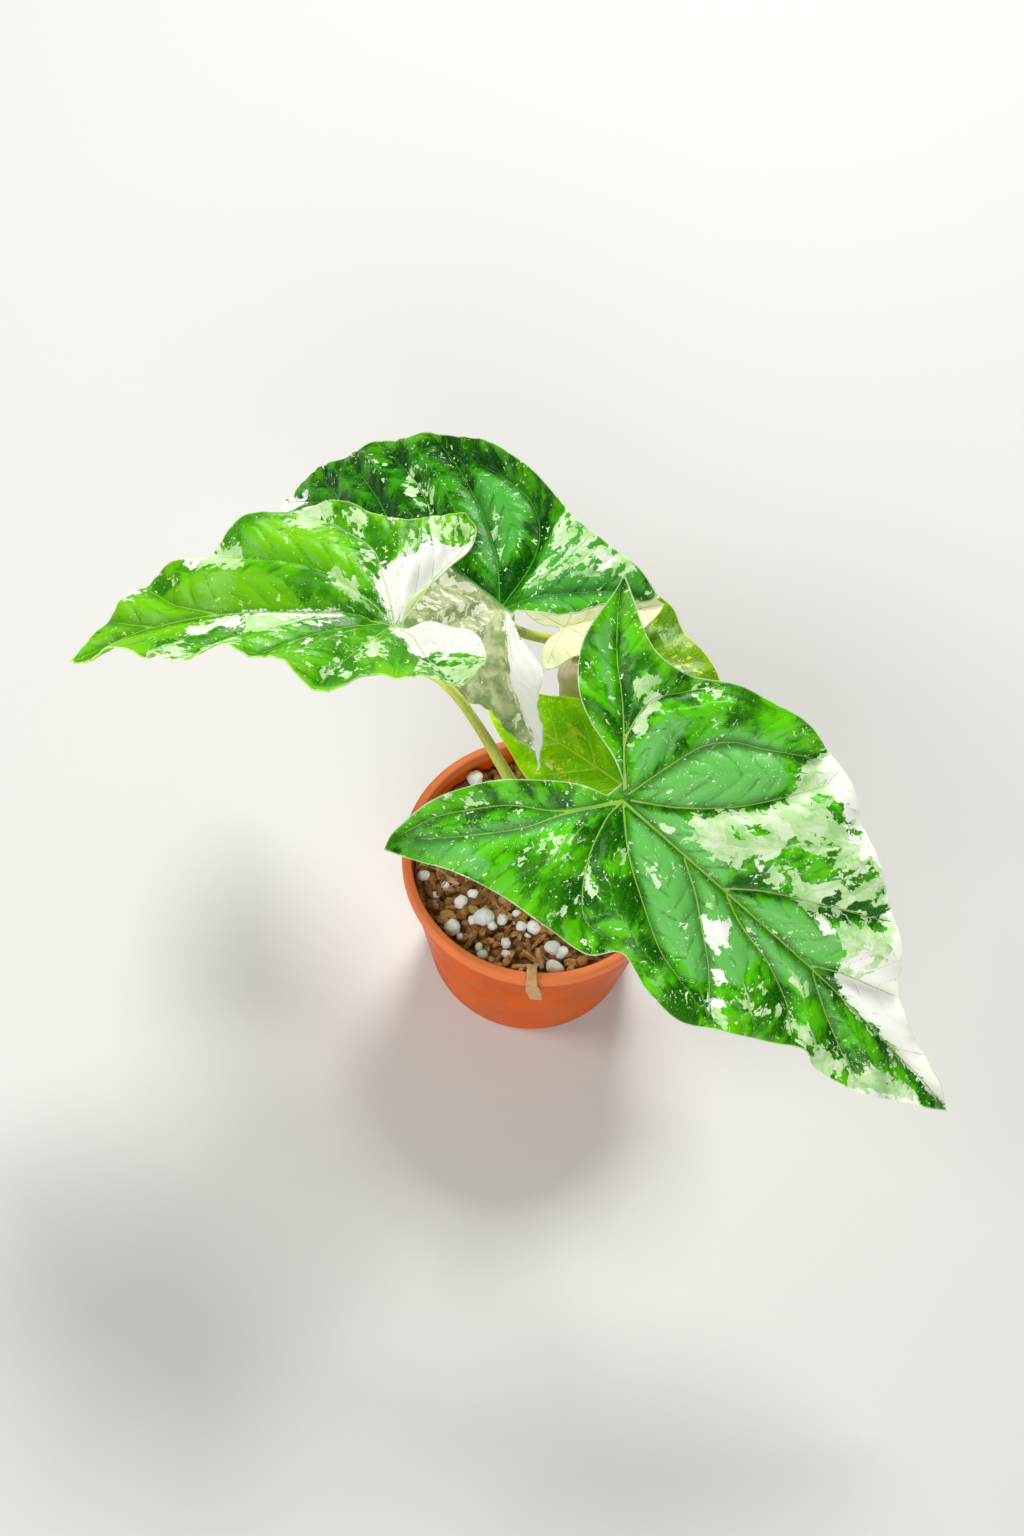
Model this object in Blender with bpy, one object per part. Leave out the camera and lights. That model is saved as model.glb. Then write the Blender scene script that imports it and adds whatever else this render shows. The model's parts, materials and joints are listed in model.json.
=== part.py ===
"""Arrowhead plant with variegated leaves, growing in a round plastic nursery pot.

The plant has six leaves on six petioles and one short leaning stem. They stand in plain
holes in a potting mix of bark chips and perlite, and the mix fills the pot. The origin is
the centre of the pot's base, +Z is up and the front of the plant faces -Y. Sizes are in
millimetres until a mesh is made, because plant and pot are easier to read that way.
"""
import math
import random
from dataclasses import dataclass, field

import bmesh
import bpy
import numpy as np
from mathutils import Vector
from mathutils.geometry import delaunay_2d_cdt

MM = 0.001
GAP = 0.35

# Pot: a 10 cm nursery pot with a small rolled lip
POT_HEIGHT = 72.0
POT_LIP_RADIUS = 50.5
POT_BASE_RADIUS = 37.8
POT_LIP_HEIGHT = 5.6
POT_LIP_REACH = 1.9
POT_WALL = 1.6
POT_FLOOR = 2.2
POT_SIDES = 48
DRAIN_HOLES = 6
DRAIN_RING_RADIUS = 25.0
DRAIN_HOLE_RADIUS = 4.0

# Potting mix
MIX_TOP = 62.0
MIX_SEED = 11
CHIP_COUNT = 42
PERLITE_COUNT = 24
STEM_HOLE_FLOOR = 50.0
STEM_HOLE_CLEARANCE = 0.5

# Leaves
BLADE_THICKNESS = 0.8
BLADE_MESH_STEP = 5.8
SMALL_BLADE_MESH_STEP = 5.2
RIB_VALLEY_WIDTH = 5.0
RIDGE_FADE = 14.0
RIPPLE_REACH = 9.0
FLAT_ROUND_JOINT = 7.0
UNFOLD_START = 35.0
UNFOLD_LENGTH = 70.0

# Colours of the pieces, as linear RGB
TERRACOTTA = (0.66, 0.16, 0.06)
MIX_BROWN = (0.22, 0.11, 0.04)
LEAF_GREEN = (0.05, 0.22, 0.02)
LEAF_DEEP_GREEN = (0.02, 0.14, 0.03)
LEAF_YELLOW_GREEN = (0.20, 0.38, 0.01)
LEAF_CREAM = (0.70, 0.74, 0.42)
PETIOLE_OLIVE = (0.33, 0.40, 0.06)
STEM_TAN = (0.48, 0.34, 0.20)


@dataclass
class Leaf:
    """A blade drawn flat, and the bends that carry it to its place.

    The flat blade has u across it, positive on the right seen from the petiole, and v along
    its midrib towards the tip. Both are zero at the petiole joint.
    """
    name: str
    joint: tuple
    heading: float
    pitch: float
    roll: float
    fold_right: float
    fold_left: float
    droop: float
    strokes: list
    ribs: list
    colour: tuple
    mesh_step: float = BLADE_MESH_STEP
    curl_right: float = 0.0
    curl_left: float = 0.0
    lobe_lift: float = 0.0
    unfold_left: float = 0.0
    bulge: float = 2.0
    ripple: float = 1.2
    ripple_length: float = 26.0
    dents: list = field(default_factory=list)
    ridges: list = field(default_factory=list)


def side_ribs(starts, reach, angle, side):
    """Straight secondary ribs that leave the midrib towards one margin."""
    lean = math.radians(angle)
    ribs = []
    for start, length in zip(starts, reach):
        end = (side * length * math.sin(lean), start + length * math.cos(lean))
        ribs.append([(side * 0.8, start), end])
    return ribs


FRONT_STROKES = [
    [(2, -5), (8, -18), (16, -28), (27, -39), (42, -47), (57, -50), (64, -48)],
    [(64, -48), (60, -38), (54, -25), (50, -9), (48, 8), (46, 24), (38, 33), (42, 47), (42, 62), (35, 75),
     (27, 90), (22, 100), (24, 108), (20, 125), (12, 140), (4, 156)],
    [(4, 156), (0, 147), (-4, 135), (-11, 116), (-25, 102), (-37, 84), (-46, 67), (-55, 51), (-59, 34),
     (-58, 18), (-52, 0), (-45, -13), (-44, -24), (-49, -35), (-57, -49)],
    [(-57, -49), (-44, -47), (-30, -44), (-19, -36), (-13, -26), (-9, -12), (-5, -4)],
]
FRONT_RIBS = [
    [(0, 0), (0, 40), (0, 90), (2, 132), (4, 152)],
    [(1, -1), (16, -13), (27, -28), (44, -42), (58, -48)],
    [(2, -1), (17, -12), (29, -19), (43, -31), (54, -42)],
    [(-3, -2), (-22, -19), (-38, -36), (-53, -47)],
    [(1, 0), (9, 0), (24, 5), (37, 15), (38, 26)],
    [(1, 1), (12, 13), (21, 27), (29, 42), (32, 53)],
    [(-2, 2), (-11, 16), (-24, 30), (-40, 42), (-50, 48)],
    [(-3, 0), (-19, 4), (-31, 8), (-39, 15), (-44, 24), (-54, 40)],
    [(-4, -2), (-15, -12), (-30, -15), (-40, -9), (-48, -3)],
    [(1, 28), (7, 38), (14, 47), (23, 58), (34, 68)],
    [(1, 47), (5, 57), (8, 71), (14, 85), (22, 94)],
    [(-1, 45), (-8, 54), (-15, 66), (-22, 80), (-28, 92)],
    [(1, 86), (8, 98), (14, 112), (18, 122)],
    [(-1, 84), (-6, 94), (-10, 106), (-12, 112)],
]
# The pad between the two upper folds stands over the shoulder behind it
FRONT_RIDGES = [([(-48, 8), (-43, 1), (-36, -4), (-29, -9), (-15, -7)], 3.0, 8.0, 2.6)]

LEFT_STROKES = [
    [(1, -2), (9, -2), (17, -5), (26, -15), (36, -23), (45, -26), (50, -21)],
    [(50, -21), (49, -8), (43, 3), (45, 12), (48, 23), (44, 42), (41, 54), (33, 62), (26, 68), (27, 78),
     (22, 88), (16, 96), (13, 104), (7, 110), (2, 117)],
    [(2, 117), (-7, 105), (-11, 94), (-17, 85), (-30, 74), (-35, 65), (-31, 54), (-36, 44), (-44, 34),
     (-51, 26), (-53, 18), (-49, 11), (-43, 3), (-47, -10), (-47, -21), (-44, -28), (-37, -34)],
    [(-37, -34), (-20, -32), (-10, -27), (-4, -19), (-2, -10), (-1, -2)],
]
LEFT_RIBS = [
    [(0, 0), (1, 35), (3, 75), (3, 100), (2, 114)],
    [(1, -1), (18, -7), (32, -18), (46, -24)],
    [(-1, -1), (-12, -6), (-24, -12), (-40, -22)],
    [(1, 1), (19, 7), (31, 12), (38, 22), (43, 34)],
    [(-1, 2), (-14, 8), (-24, 12), (-36, 17), (-44, 22)],
    [(2, 3), (11, 14), (20, 29), (24, 46), (28, 62)],
    [(-1, 6), (-14, 26), (-30, 42)],
    [(-1, 30), (-12, 48), (-26, 62)],
    [(-1, 58), (-8, 70), (-18, 80)],
    [(3, 62), (10, 76), (20, 86)],
    [(3, 84), (8, 94), (13, 102)],
]
# The pad beside the midrib stands over the far half of the blade
LEFT_RIDGES = [([(3, 8), (7, 16), (15, 31), (18, 44), (19, 58), (22, 68)], 4.0, 8.5, 2.6)]

BACK_STROKES = [
    [(2, -4), (5, -12), (12, -20), (21, -27), (30, -35), (37, -39)],
    [(37, -39), (40, -28), (40, -12), (40, 2), (43, 15), (46, 30), (46, 46), (43, 62), (38, 77), (31, 92),
     (23, 106), (14, 118), (6, 126), (0, 130)],
    [(0, 130), (-9, 116), (-20, 101), (-32, 85), (-42, 67), (-48, 48), (-51, 32), (-51, 17), (-48, 2),
     (-46, -10), (-48, -19), (-52, -25), (-58, -30)],
    [(-58, -30), (-45, -31), (-34, -29), (-19, -25), (-9, -23), (-3, -15), (-2, -4)],
]
BACK_RIBS = [
    [(0, 0), (1, 30), (2, 70), (2, 110), (0, 126)],
    [(1, -1), (9, -5), (19, -14), (28, -25), (35, -36)],
    [(-1, -1), (-13, -3), (-25, -6), (-36, -15), (-46, -24), (-55, -29)],
    [(1, 1), (18, 4), (29, 10), (36, 20), (38, 32), (38, 46)],
    [(-1, 2), (-11, 5), (-24, 14), (-44, 18)],
    [(1, 3), (12, 15), (24, 34), (34, 55), (38, 66)],
    [(-1, 4), (-16, 26), (-38, 48)],
    [(1, 30), (12, 46), (22, 66), (28, 86)],
    [(-1, 34), (-14, 54), (-30, 76)],
    [(2, 60), (10, 76), (18, 96)],
    [(-1, 66), (-10, 82), (-18, 96)],
    [(2, 88), (7, 100), (11, 112)],
]

SMALL_STROKES = [
    [(1.5, -3), (5, -11), (11, -17), (18, -20), (24, -20)],
    [(24, -20), (25, -12), (23, -2), (25, 9), (25, 20), (22, 32), (15, 44), (8, 54), (0, 63)],
    [(0, 63), (-8, 54), (-15, 44), (-22, 32), (-25, 20), (-25, 9), (-23, -2), (-25, -12), (-24, -20)],
    [(-24, -20), (-18, -20), (-11, -17), (-5, -11), (-1.5, -3)],
]
SMALL_RIBS = [
    [(0, 0), (0, 30), (0, 58)],
    [(1, -1), (10, -9), (20, -17)],
    [(-1, -1), (-10, -9), (-20, -17)],
    [(1, 2), (11, 9), (21, 12)],
    [(-1, 2), (-11, 9), (-21, 12)],
] + side_ribs((14, 30), (20, 15), 50, 1) + side_ribs((13, 29), (20, 15), 50, -1)


def scaled(lines, across, along):
    """The same lines with their u and v stretched."""
    return [[(u * across, v * along) for u, v in line] for line in lines]


LEAVES = [
    Leaf("blade_front", (24, -26, 165), -32, -16, -22, 6, 6, -0.002, FRONT_STROKES, FRONT_RIBS, LEAF_GREEN,
         curl_right=-0.003, curl_left=-0.004, lobe_lift=-0.002, bulge=3.0, ripple=1.8,
         dents=[(44, 54, 9, 3.5), (38, 32, 8, -3.0), (27, 88, 9, 3.0), (20, 104, 7, -2.5)],
         ridges=FRONT_RIDGES),
    Leaf("blade_left", (-57, 26, 175), 178, 8, -22, 18, 10, -0.007, LEFT_STROKES, LEFT_RIBS, LEAF_GREEN,
         curl_left=0.002, lobe_lift=0.012, bulge=2.8, ripple=1.5,
         dents=[(-50, 18, 13, -6), (-9, -14, 11, 4)], ridges=LEFT_RIDGES),
    Leaf("blade_back", (-22, 45, 165), 140, -4, 0, 12, -78, -0.006, BACK_STROKES, BACK_RIBS, LEAF_DEEP_GREEN,
         curl_right=0.004, unfold_left=62, bulge=3.2, ripple=1.2),
    Leaf("blade_cream", (0, 61, 132), 24, 3, -6, 12, 12, -0.006,
         scaled(SMALL_STROKES, 0.62, 0.62), scaled(SMALL_RIBS, 0.62, 0.62),
         LEAF_CREAM, mesh_step=SMALL_BLADE_MESH_STEP, bulge=0.8, ripple=0.8),
    Leaf("blade_right", (30, 60, 121), -55, 2, 8, 12, 8, -0.008,
         scaled(SMALL_STROKES, 0.77, 0.95), scaled(SMALL_RIBS, 0.77, 0.95),
         LEAF_YELLOW_GREEN, mesh_step=SMALL_BLADE_MESH_STEP, bulge=1.4, ripple=1.0),
    Leaf("blade_low", (29, 17, 98), 148, 1, 14, 6, -14, -0.003,
         scaled(SMALL_STROKES, 0.78, 1.08), scaled(SMALL_RIBS, 0.78, 1.08),
         LEAF_YELLOW_GREEN, mesh_step=SMALL_BLADE_MESH_STEP, bulge=1.4, ripple=1.0),
]

# Routes of the petioles up to just under their blade's joint. One with a seat_turn grows from
# the stem's top, on that side of it, and the others stand in the mix.
PETIOLES = {
    "blade_front": dict(name="petiole_front", foot_radius=2.7, top_radius=1.7,
                        route=[(12, -7, 50), (12, -7, 68), (10, -13, 95), (14, -22, 135)]),
    "blade_left": dict(name="petiole_left", foot_radius=2.7, top_radius=1.7,
                       route=[(2, 1, 50), (2, 1, 68), (-3, 4, 84), (-14, 11, 107), (-35, 18, 148)]),
    "blade_back": dict(name="petiole_back", foot_radius=2.2, top_radius=1.6, joint_shift=2.9, seat_turn=190,
                       route=[(-5, 66, 116), (-14.5, 61, 126), (-19.5, 56, 138), (-19.5, 50, 151)]),
    "blade_cream": dict(name="petiole_cream", foot_radius=1.8, top_radius=1.3, seat_turn=80,
                        route=[(4.5, 71, 120)]),
    "blade_right": dict(name="petiole_right", foot_radius=1.8, top_radius=1.4, seat_turn=-40, approach=4.0,
                        route=[(18, 63, 112)]),
    "blade_low": dict(name="petiole_low", foot_radius=2.2, top_radius=1.5, joint_shift=1.8,
                      route=[(21, 4, 50), (21, 4, 68), (24, 8, 80)]),
}
STEM_ROUTE = [(10, 18, 50), (10, 18, 60), (10, 19, 69), (9.5, 28, 77), (8, 46, 84), (6.5, 60, 91),
              (6, 66, 97), (6, 68.5, 103)]
STEM_RADII = [4.6, 4.6, 4.6, 4.6, 5.0, 5.6, 6.0]
STEM_SEAT_RADIUS = 3.4


def clear_scene():
    for item in list(bpy.data.objects):
        bpy.data.objects.remove(item, do_unlink=True)


def make_material(name, colour, roughness):
    material = bpy.data.materials.new(name)
    material.use_nodes = True
    shader = material.node_tree.nodes["Principled BSDF"]
    shader.inputs["Base Color"].default_value = (*colour, 1.0)
    shader.inputs["Roughness"].default_value = roughness
    shader.inputs["Metallic"].default_value = 0.0
    return material


def add_object(name, vertices, faces, colour=None, roughness=0.5, collection=None):
    """A mesh object from millimetre points."""
    mesh = bpy.data.meshes.new(name)
    points = [tuple(float(value) * MM for value in vertex) for vertex in vertices]
    mesh.from_pydata(points, [], [tuple(int(index) for index in face) for face in faces])
    mesh.update()
    item = bpy.data.objects.new(name, mesh)
    (collection or bpy.context.scene.collection).objects.link(item)
    if colour is not None:
        mesh.materials.append(make_material(name, colour, roughness))
    return item


def shade_round(item, angle=35.0):
    item.data.shade_smooth()
    item.data.set_sharp_from_angle(angle=math.radians(angle))


def smooth_stroke(points, step):
    """Points at an even step on a Catmull-Rom curve through the given points."""
    points = [np.array(point, float) for point in points]
    ends = [2 * points[0] - points[1]] + points + [2 * points[-1] - points[-2]]
    dense = []
    for p0, p1, p2, p3 in zip(ends, ends[1:], ends[2:], ends[3:]):
        for t in np.linspace(0, 1, 16, endpoint=False):
            dense.append(0.5 * (2 * p1 + (p2 - p0) * t + (2 * p0 - 5 * p1 + 4 * p2 - p3) * t * t
                                + (3 * p1 - p0 - 3 * p2 + p3) * t ** 3))
    dense.append(points[-1])
    dense = np.array(dense)
    lengths = np.concatenate([[0.0], np.cumsum(np.linalg.norm(np.diff(dense, axis=0), axis=1))])
    count = max(2, int(round(lengths[-1] / step)) + 1)
    wanted = np.linspace(0, lengths[-1], count)
    return np.stack([np.interp(wanted, lengths, dense[:, axis]) for axis in range(dense.shape[1])], axis=1)


def blade_outline(leaf, step):
    """The closed outline, with sharp corners where two strokes meet."""
    rows = []
    for stroke in leaf.strokes:
        rows.append(smooth_stroke(stroke, step)[:-1])
    rows.append(np.array([leaf.strokes[-1][-1]], float))
    return np.concatenate(rows)


def distance_to_line(points, line):
    """Distance to a polyline, how far along it the nearest place lies, and which points are left of it."""
    best = np.full(len(points), 1e9)
    along = np.zeros(len(points))
    left = np.zeros(len(points), bool)
    travelled = 0.0
    for start, end in zip(line[:-1], line[1:]):
        edge = end - start
        offset = points - start
        length = float(np.linalg.norm(edge))
        share = np.clip(offset @ edge / (length * length), 0.0, 1.0)
        distance = np.linalg.norm(offset - share[:, None] * edge, axis=1)
        nearer = distance < best
        best[nearer] = distance[nearer]
        along[nearer] = travelled + share[nearer] * length
        left[nearer] = edge[0] * offset[nearer, 1] > edge[1] * offset[nearer, 0]
        travelled += length
    return best, along, left


def inside(points, outline):
    """Which points lie inside a closed outline."""
    result = np.zeros(len(points), bool)
    for (u0, v0), (u1, v1) in zip(outline, np.roll(outline, -1, axis=0)):
        crosses = (v0 > points[:, 1]) != (v1 > points[:, 1])
        u_at_v = u0 + (points[:, 1] - v0) * (u1 - u0) / (v1 - v0 if v1 != v0 else 1e-9)
        result ^= crosses & (points[:, 0] < u_at_v)
    return result


def ridge_height(flat, line, rise, wide, narrow):
    """A ridge along a line, with a wide slope on its left and a narrow one on its right."""
    points = smooth_stroke(line, 2.0)
    distance, along, left = distance_to_line(flat, points)
    length = np.linalg.norm(np.diff(points, axis=0), axis=1).sum()
    ends = np.clip(np.minimum(along, length - along) / RIDGE_FADE, 0.0, 1.0)
    return rise * np.sqrt(ends) * np.exp(-(distance / np.where(left, wide, narrow)) ** 2)


def blade_relief(leaf, flat, outline):
    """Height of the blade over its bent sheet: panels between sunken ribs, ridges and a rippled margin."""
    nearest = np.full(len(flat), 1e9)
    for rib in leaf.ribs:
        distance, _, _ = distance_to_line(flat, smooth_stroke(rib, 2.0))
        nearest = np.minimum(nearest, distance)
    height = leaf.bulge * (1.0 - np.exp(-(nearest / RIB_VALLEY_WIDTH) ** 2))
    for line, rise, wide, narrow in leaf.ridges:
        height += ridge_height(flat, line, rise, wide, narrow)
    closed = np.vstack([outline, outline[:1]])
    margin, along, _ = distance_to_line(flat, closed)
    height += leaf.ripple * np.exp(-margin / RIPPLE_REACH) * np.sin(2 * math.pi * along / leaf.ripple_length)
    for u, v, radius, rise in leaf.dents:
        height += rise * np.exp(-((flat[:, 0] - u) ** 2 + (flat[:, 1] - v) ** 2) / radius ** 2)
    from_joint = np.linalg.norm(flat, axis=1)
    return height * (1.0 - np.exp(-(from_joint / FLAT_ROUND_JOINT) ** 2))


def bend(distance, angle, curvature):
    """How far a line reaches along and up when it starts at an angle and keeps a curvature."""
    if abs(curvature) < 1e-6:
        return distance * np.cos(angle), distance * np.sin(angle)
    turned = angle + curvature * distance
    along = (np.sin(turned) - np.sin(angle)) / curvature
    up = (np.cos(angle) - np.cos(turned)) / curvature
    return along, up


def blade_axes(leaf):
    """Unit vectors across the blade, along its midrib and out of its upper face."""
    heading, pitch, roll = (math.radians(angle) for angle in (leaf.heading, leaf.pitch, leaf.roll))
    level_along = np.array([math.cos(heading), math.sin(heading), 0.0])
    along = level_along * math.cos(pitch) + np.array([0.0, 0.0, math.sin(pitch)])
    level = np.array([math.sin(heading), -math.cos(heading), 0.0])
    across = level * math.cos(roll) + np.cross(level, along) * math.sin(roll)
    return across, along, np.cross(across, along)


def blade_places(leaf, flat):
    """World places of flat blade points: fold and curl the halves, then droop, then turn.

    The left half opens by unfold_left between the middle of the blade and its tip.
    """
    share = np.clip((flat[:, 1] - UNFOLD_START) / UNFOLD_LENGTH, 0.0, 1.0)
    opened = np.radians(leaf.fold_left + leaf.unfold_left * share * share * (3.0 - 2.0 * share))
    right_reach, right_rise = bend(np.maximum(flat[:, 0], 0), math.radians(leaf.fold_right), leaf.curl_right)
    left_reach, left_rise = bend(np.maximum(-flat[:, 0], 0), opened, leaf.curl_left)
    forward, forward_rise = bend(np.maximum(flat[:, 1], 0), 0.0, leaf.droop)
    backward, backward_rise = bend(np.maximum(-flat[:, 1], 0), 0.0, leaf.lobe_lift)
    x = right_reach - left_reach
    height = right_rise + left_rise
    turn = leaf.droop * np.maximum(flat[:, 1], 0) - leaf.lobe_lift * np.maximum(-flat[:, 1], 0)
    y = forward - backward - height * np.sin(turn)
    z = forward_rise + backward_rise + height * np.cos(turn)
    across, along, out = blade_axes(leaf)
    return np.array(leaf.joint, float) + x[:, None] * across + y[:, None] * along + z[:, None] * out


def blade_triangles(leaf):
    """Flat points and triangles that keep the outline and the ribs as edges."""
    step = leaf.mesh_step
    outline = blade_outline(leaf, step * 0.95)
    points = [tuple(point) for point in outline]
    edges = []
    for rib in leaf.ribs:
        line = smooth_stroke(rib, step)
        distance, _, _ = distance_to_line(line, np.vstack([outline, outline[:1]]))
        line = line[distance > step * 0.45]
        line = line[inside(line, outline)]
        kept = []
        for point in line:
            near = [index for index in range(len(outline), len(points))
                    if math.dist(points[index], point) < step * 0.45]
            if near:
                kept.append(near[0])
            else:
                points.append(tuple(point))
                kept.append(len(points) - 1)
        edges += [(a, b) for a, b in zip(kept, kept[1:]) if a != b]
    rib_points = np.array(points[len(outline):])
    low, high = outline.min(axis=0), outline.max(axis=0)
    row = 0
    v = low[1]
    lattice = []
    while v < high[1]:
        lattice += [(u, v) for u in np.arange(low[0] + (row % 2) * step / 2, high[0], step)]
        v += step * math.sqrt(3) / 2
        row += 1
    lattice = np.array(lattice)
    margin, _, _ = distance_to_line(lattice, np.vstack([outline, outline[:1]]))
    lattice = lattice[inside(lattice, outline) & (margin > step * 0.55)]
    to_ribs = np.min(np.linalg.norm(lattice[:, None] - rib_points[None], axis=2), axis=1)
    lattice = lattice[to_ribs > step * 0.6]
    points += [tuple(point) for point in lattice]
    result = delaunay_2d_cdt([Vector(point) for point in points], edges, [list(range(len(outline)))], 1, 0.01)
    flat = np.array([tuple(point) for point in result[0]])
    triangles = [tuple(face) for face in result[2]]
    return flat, triangles, outline


def upward(flat, triangles):
    """Triangles in the order that makes them face out of the upper side."""
    fixed = []
    for a, b, c in triangles:
        turn = np.cross(flat[b] - flat[a], flat[c] - flat[a])
        fixed.append((a, b, c) if turn > 0 else (a, c, b))
    return fixed


def vertex_normals(places, triangles):
    corners = places[np.array(triangles)]
    face_normals = np.cross(corners[:, 1] - corners[:, 0], corners[:, 2] - corners[:, 0])
    normals = np.zeros_like(places)
    for corner in range(3):
        np.add.at(normals, np.array(triangles)[:, corner], face_normals)
    return normals / np.linalg.norm(normals, axis=1)[:, None]


def rim_edges(triangles):
    """Directed edges that belong to one triangle only."""
    directed = {(face[i], face[(i + 1) % 3]) for face in triangles for i in range(3)}
    return [(a, b) for a, b in directed if (b, a) not in directed]


def make_blade(leaf):
    """One leaf blade as a thin closed solid with the same triangles on both faces."""
    flat, triangles, outline = blade_triangles(leaf)
    triangles = upward(flat, triangles)
    relief = blade_relief(leaf, flat, outline)
    sheet = blade_places(leaf, flat)
    places = sheet + vertex_normals(sheet, triangles) * relief[:, None]
    offset = vertex_normals(places, triangles) * BLADE_THICKNESS / 2
    count = len(flat)
    vertices = np.vstack([places + offset, places - offset])
    faces = list(triangles)
    faces += [(c + count, b + count, a + count) for a, b, c in triangles]
    for a, b in rim_edges(triangles):
        faces.append((b, a, a + count))
        faces.append((b, a + count, b + count))
    item = add_object(leaf.name, vertices, faces, leaf.colour, 0.4)
    shade_round(item)
    return item


def make_tube(name, route, radii, sides, step, colour, roughness):
    """A round stalk along a smooth route, with flat caps and a radius that runs through radii."""
    line = smooth_stroke(route, step)
    share = np.linspace(0, len(radii) - 1, len(line))
    thickness = np.interp(share, range(len(radii)), radii)
    tangents = np.gradient(line, axis=0)
    tangents /= np.linalg.norm(tangents, axis=1)[:, None]
    guide = np.array([1.0, 0.0, 0.0])
    vertices = []
    for point, tangent, radius in zip(line, tangents, thickness):
        guide = guide - tangent * (guide @ tangent)
        guide /= np.linalg.norm(guide)
        other = np.cross(tangent, guide)
        for index in range(sides):
            turn = 2 * math.pi * index / sides
            vertices.append(point + radius * (guide * math.cos(turn) + other * math.sin(turn)))
    faces = []
    for ring in range(len(line) - 1):
        for index in range(sides):
            a = ring * sides + index
            b = ring * sides + (index + 1) % sides
            faces.append((a, b, b + sides, a + sides))
    faces.append(tuple(range(sides))[::-1])
    faces.append(tuple(range((len(line) - 1) * sides, len(line) * sides)))
    item = add_object(name, vertices, faces, colour, roughness)
    shade_round(item, 50.0)
    return item


def stem_seat(turn):
    """Where a petiole's foot stands on the stem's top, and the way the stem points there."""
    top = np.array(STEM_ROUTE[-1], float)
    aim = top - np.array(STEM_ROUTE[-2], float)
    aim /= np.linalg.norm(aim)
    side = np.cross(aim, (0.0, -1.0, 0.0))
    side /= np.linalg.norm(side)
    back = np.cross(aim, side)
    turn = math.radians(turn)
    offset = side * math.cos(turn) + back * math.sin(turn)
    return top + offset * STEM_SEAT_RADIUS + aim * (GAP + 0.25), aim


def make_petiole(leaf):
    """The stalk of one leaf, ending square to the blade just under its joint."""
    plan = PETIOLES[leaf.name]
    route = list(plan["route"])
    if "seat_turn" in plan:
        foot, aim = stem_seat(plan["seat_turn"])
        route = [tuple(foot), tuple(foot + aim * 5.0)] + route
    across, _, out = blade_axes(leaf)
    seat = np.array(leaf.joint, float) + across * plan.get("joint_shift", 0.0)
    end = seat - out * (BLADE_THICKNESS / 2 + GAP)
    route += [tuple(end - out * plan.get("approach", 6.0)), tuple(end)]
    radii = [plan["foot_radius"], plan["foot_radius"] * 0.9, plan["top_radius"] * 1.05, plan["top_radius"]]
    step = 4.0 if "seat_turn" in plan else 8.0
    return make_tube(plan["name"], route, radii, 10, step, PETIOLE_OLIVE, 0.45)


def turned_profile(name, profile, sides, colour, roughness):
    """A solid turned about +Z from a profile that starts and ends on the axis."""
    vertices = [(0.0, 0.0, profile[0][1])]
    for radius, height in profile[1:-1]:
        for index in range(sides):
            turn = 2 * math.pi * index / sides
            vertices.append((radius * math.cos(turn), radius * math.sin(turn), height))
    vertices.append((0.0, 0.0, profile[-1][1]))
    rings = len(profile) - 2
    faces = []
    for index in range(sides):
        following = (index + 1) % sides
        faces.append((0, 1 + following, 1 + index))
        for ring in range(rings - 1):
            a = 1 + ring * sides + index
            b = 1 + ring * sides + following
            faces.append((a, b, b + sides, a + sides))
        last = 1 + (rings - 1) * sides
        faces.append((last + index, last + following, len(vertices) - 1))
    return add_object(name, vertices, faces, colour, roughness)


def pot_radius(height):
    """Outer radius of the pot's tapered body."""
    top = POT_LIP_RADIUS - POT_LIP_REACH
    return POT_BASE_RADIUS + (top - POT_BASE_RADIUS) * height / (POT_HEIGHT - POT_LIP_HEIGHT)


def inner_radius(height):
    return min(pot_radius(height), POT_LIP_RADIUS - POT_LIP_REACH) - POT_WALL


def rounded(centre_radius, centre_height, size, start, stop, steps):
    """Points of an arc in the turned profile."""
    angles = np.linspace(math.radians(start), math.radians(stop), steps)
    return [(centre_radius + size * math.cos(a), centre_height + size * math.sin(a)) for a in angles]


def cylinder_between(name, x, y, low, high, radius, sides, collection):
    """A plain upright cylinder used as a cutter."""
    vertices = []
    for height in (low, high):
        for index in range(sides):
            turn = 2 * math.pi * index / sides
            vertices.append((x + radius * math.cos(turn), y + radius * math.sin(turn), height))
    faces = [(i, (i + 1) % sides, sides + (i + 1) % sides, sides + i) for i in range(sides)]
    faces.append(tuple(range(sides))[::-1])
    faces.append(tuple(range(sides, 2 * sides)))
    item = add_object(name, vertices, faces, collection=collection)
    item.hide_render = True
    item.display_type = "WIRE"
    return item


def apply_boolean(item, operation, collection):
    """Join or cut an object with a whole collection, then remove the collection's objects."""
    modifier = item.modifiers.new("join", "BOOLEAN")
    modifier.operation = operation
    modifier.operand_type = "COLLECTION"
    modifier.collection = collection
    modifier.solver = "EXACT"
    bpy.context.view_layer.update()
    graph = bpy.context.evaluated_depsgraph_get()
    mesh = bpy.data.meshes.new_from_object(item.evaluated_get(graph))
    item.modifiers.clear()
    item.data = mesh
    for helper in list(collection.objects):
        bpy.data.objects.remove(helper, do_unlink=True)
    bpy.data.collections.remove(collection)


def new_collection(name):
    collection = bpy.data.collections.new(name)
    bpy.context.scene.collection.children.link(collection)
    return collection


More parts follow.
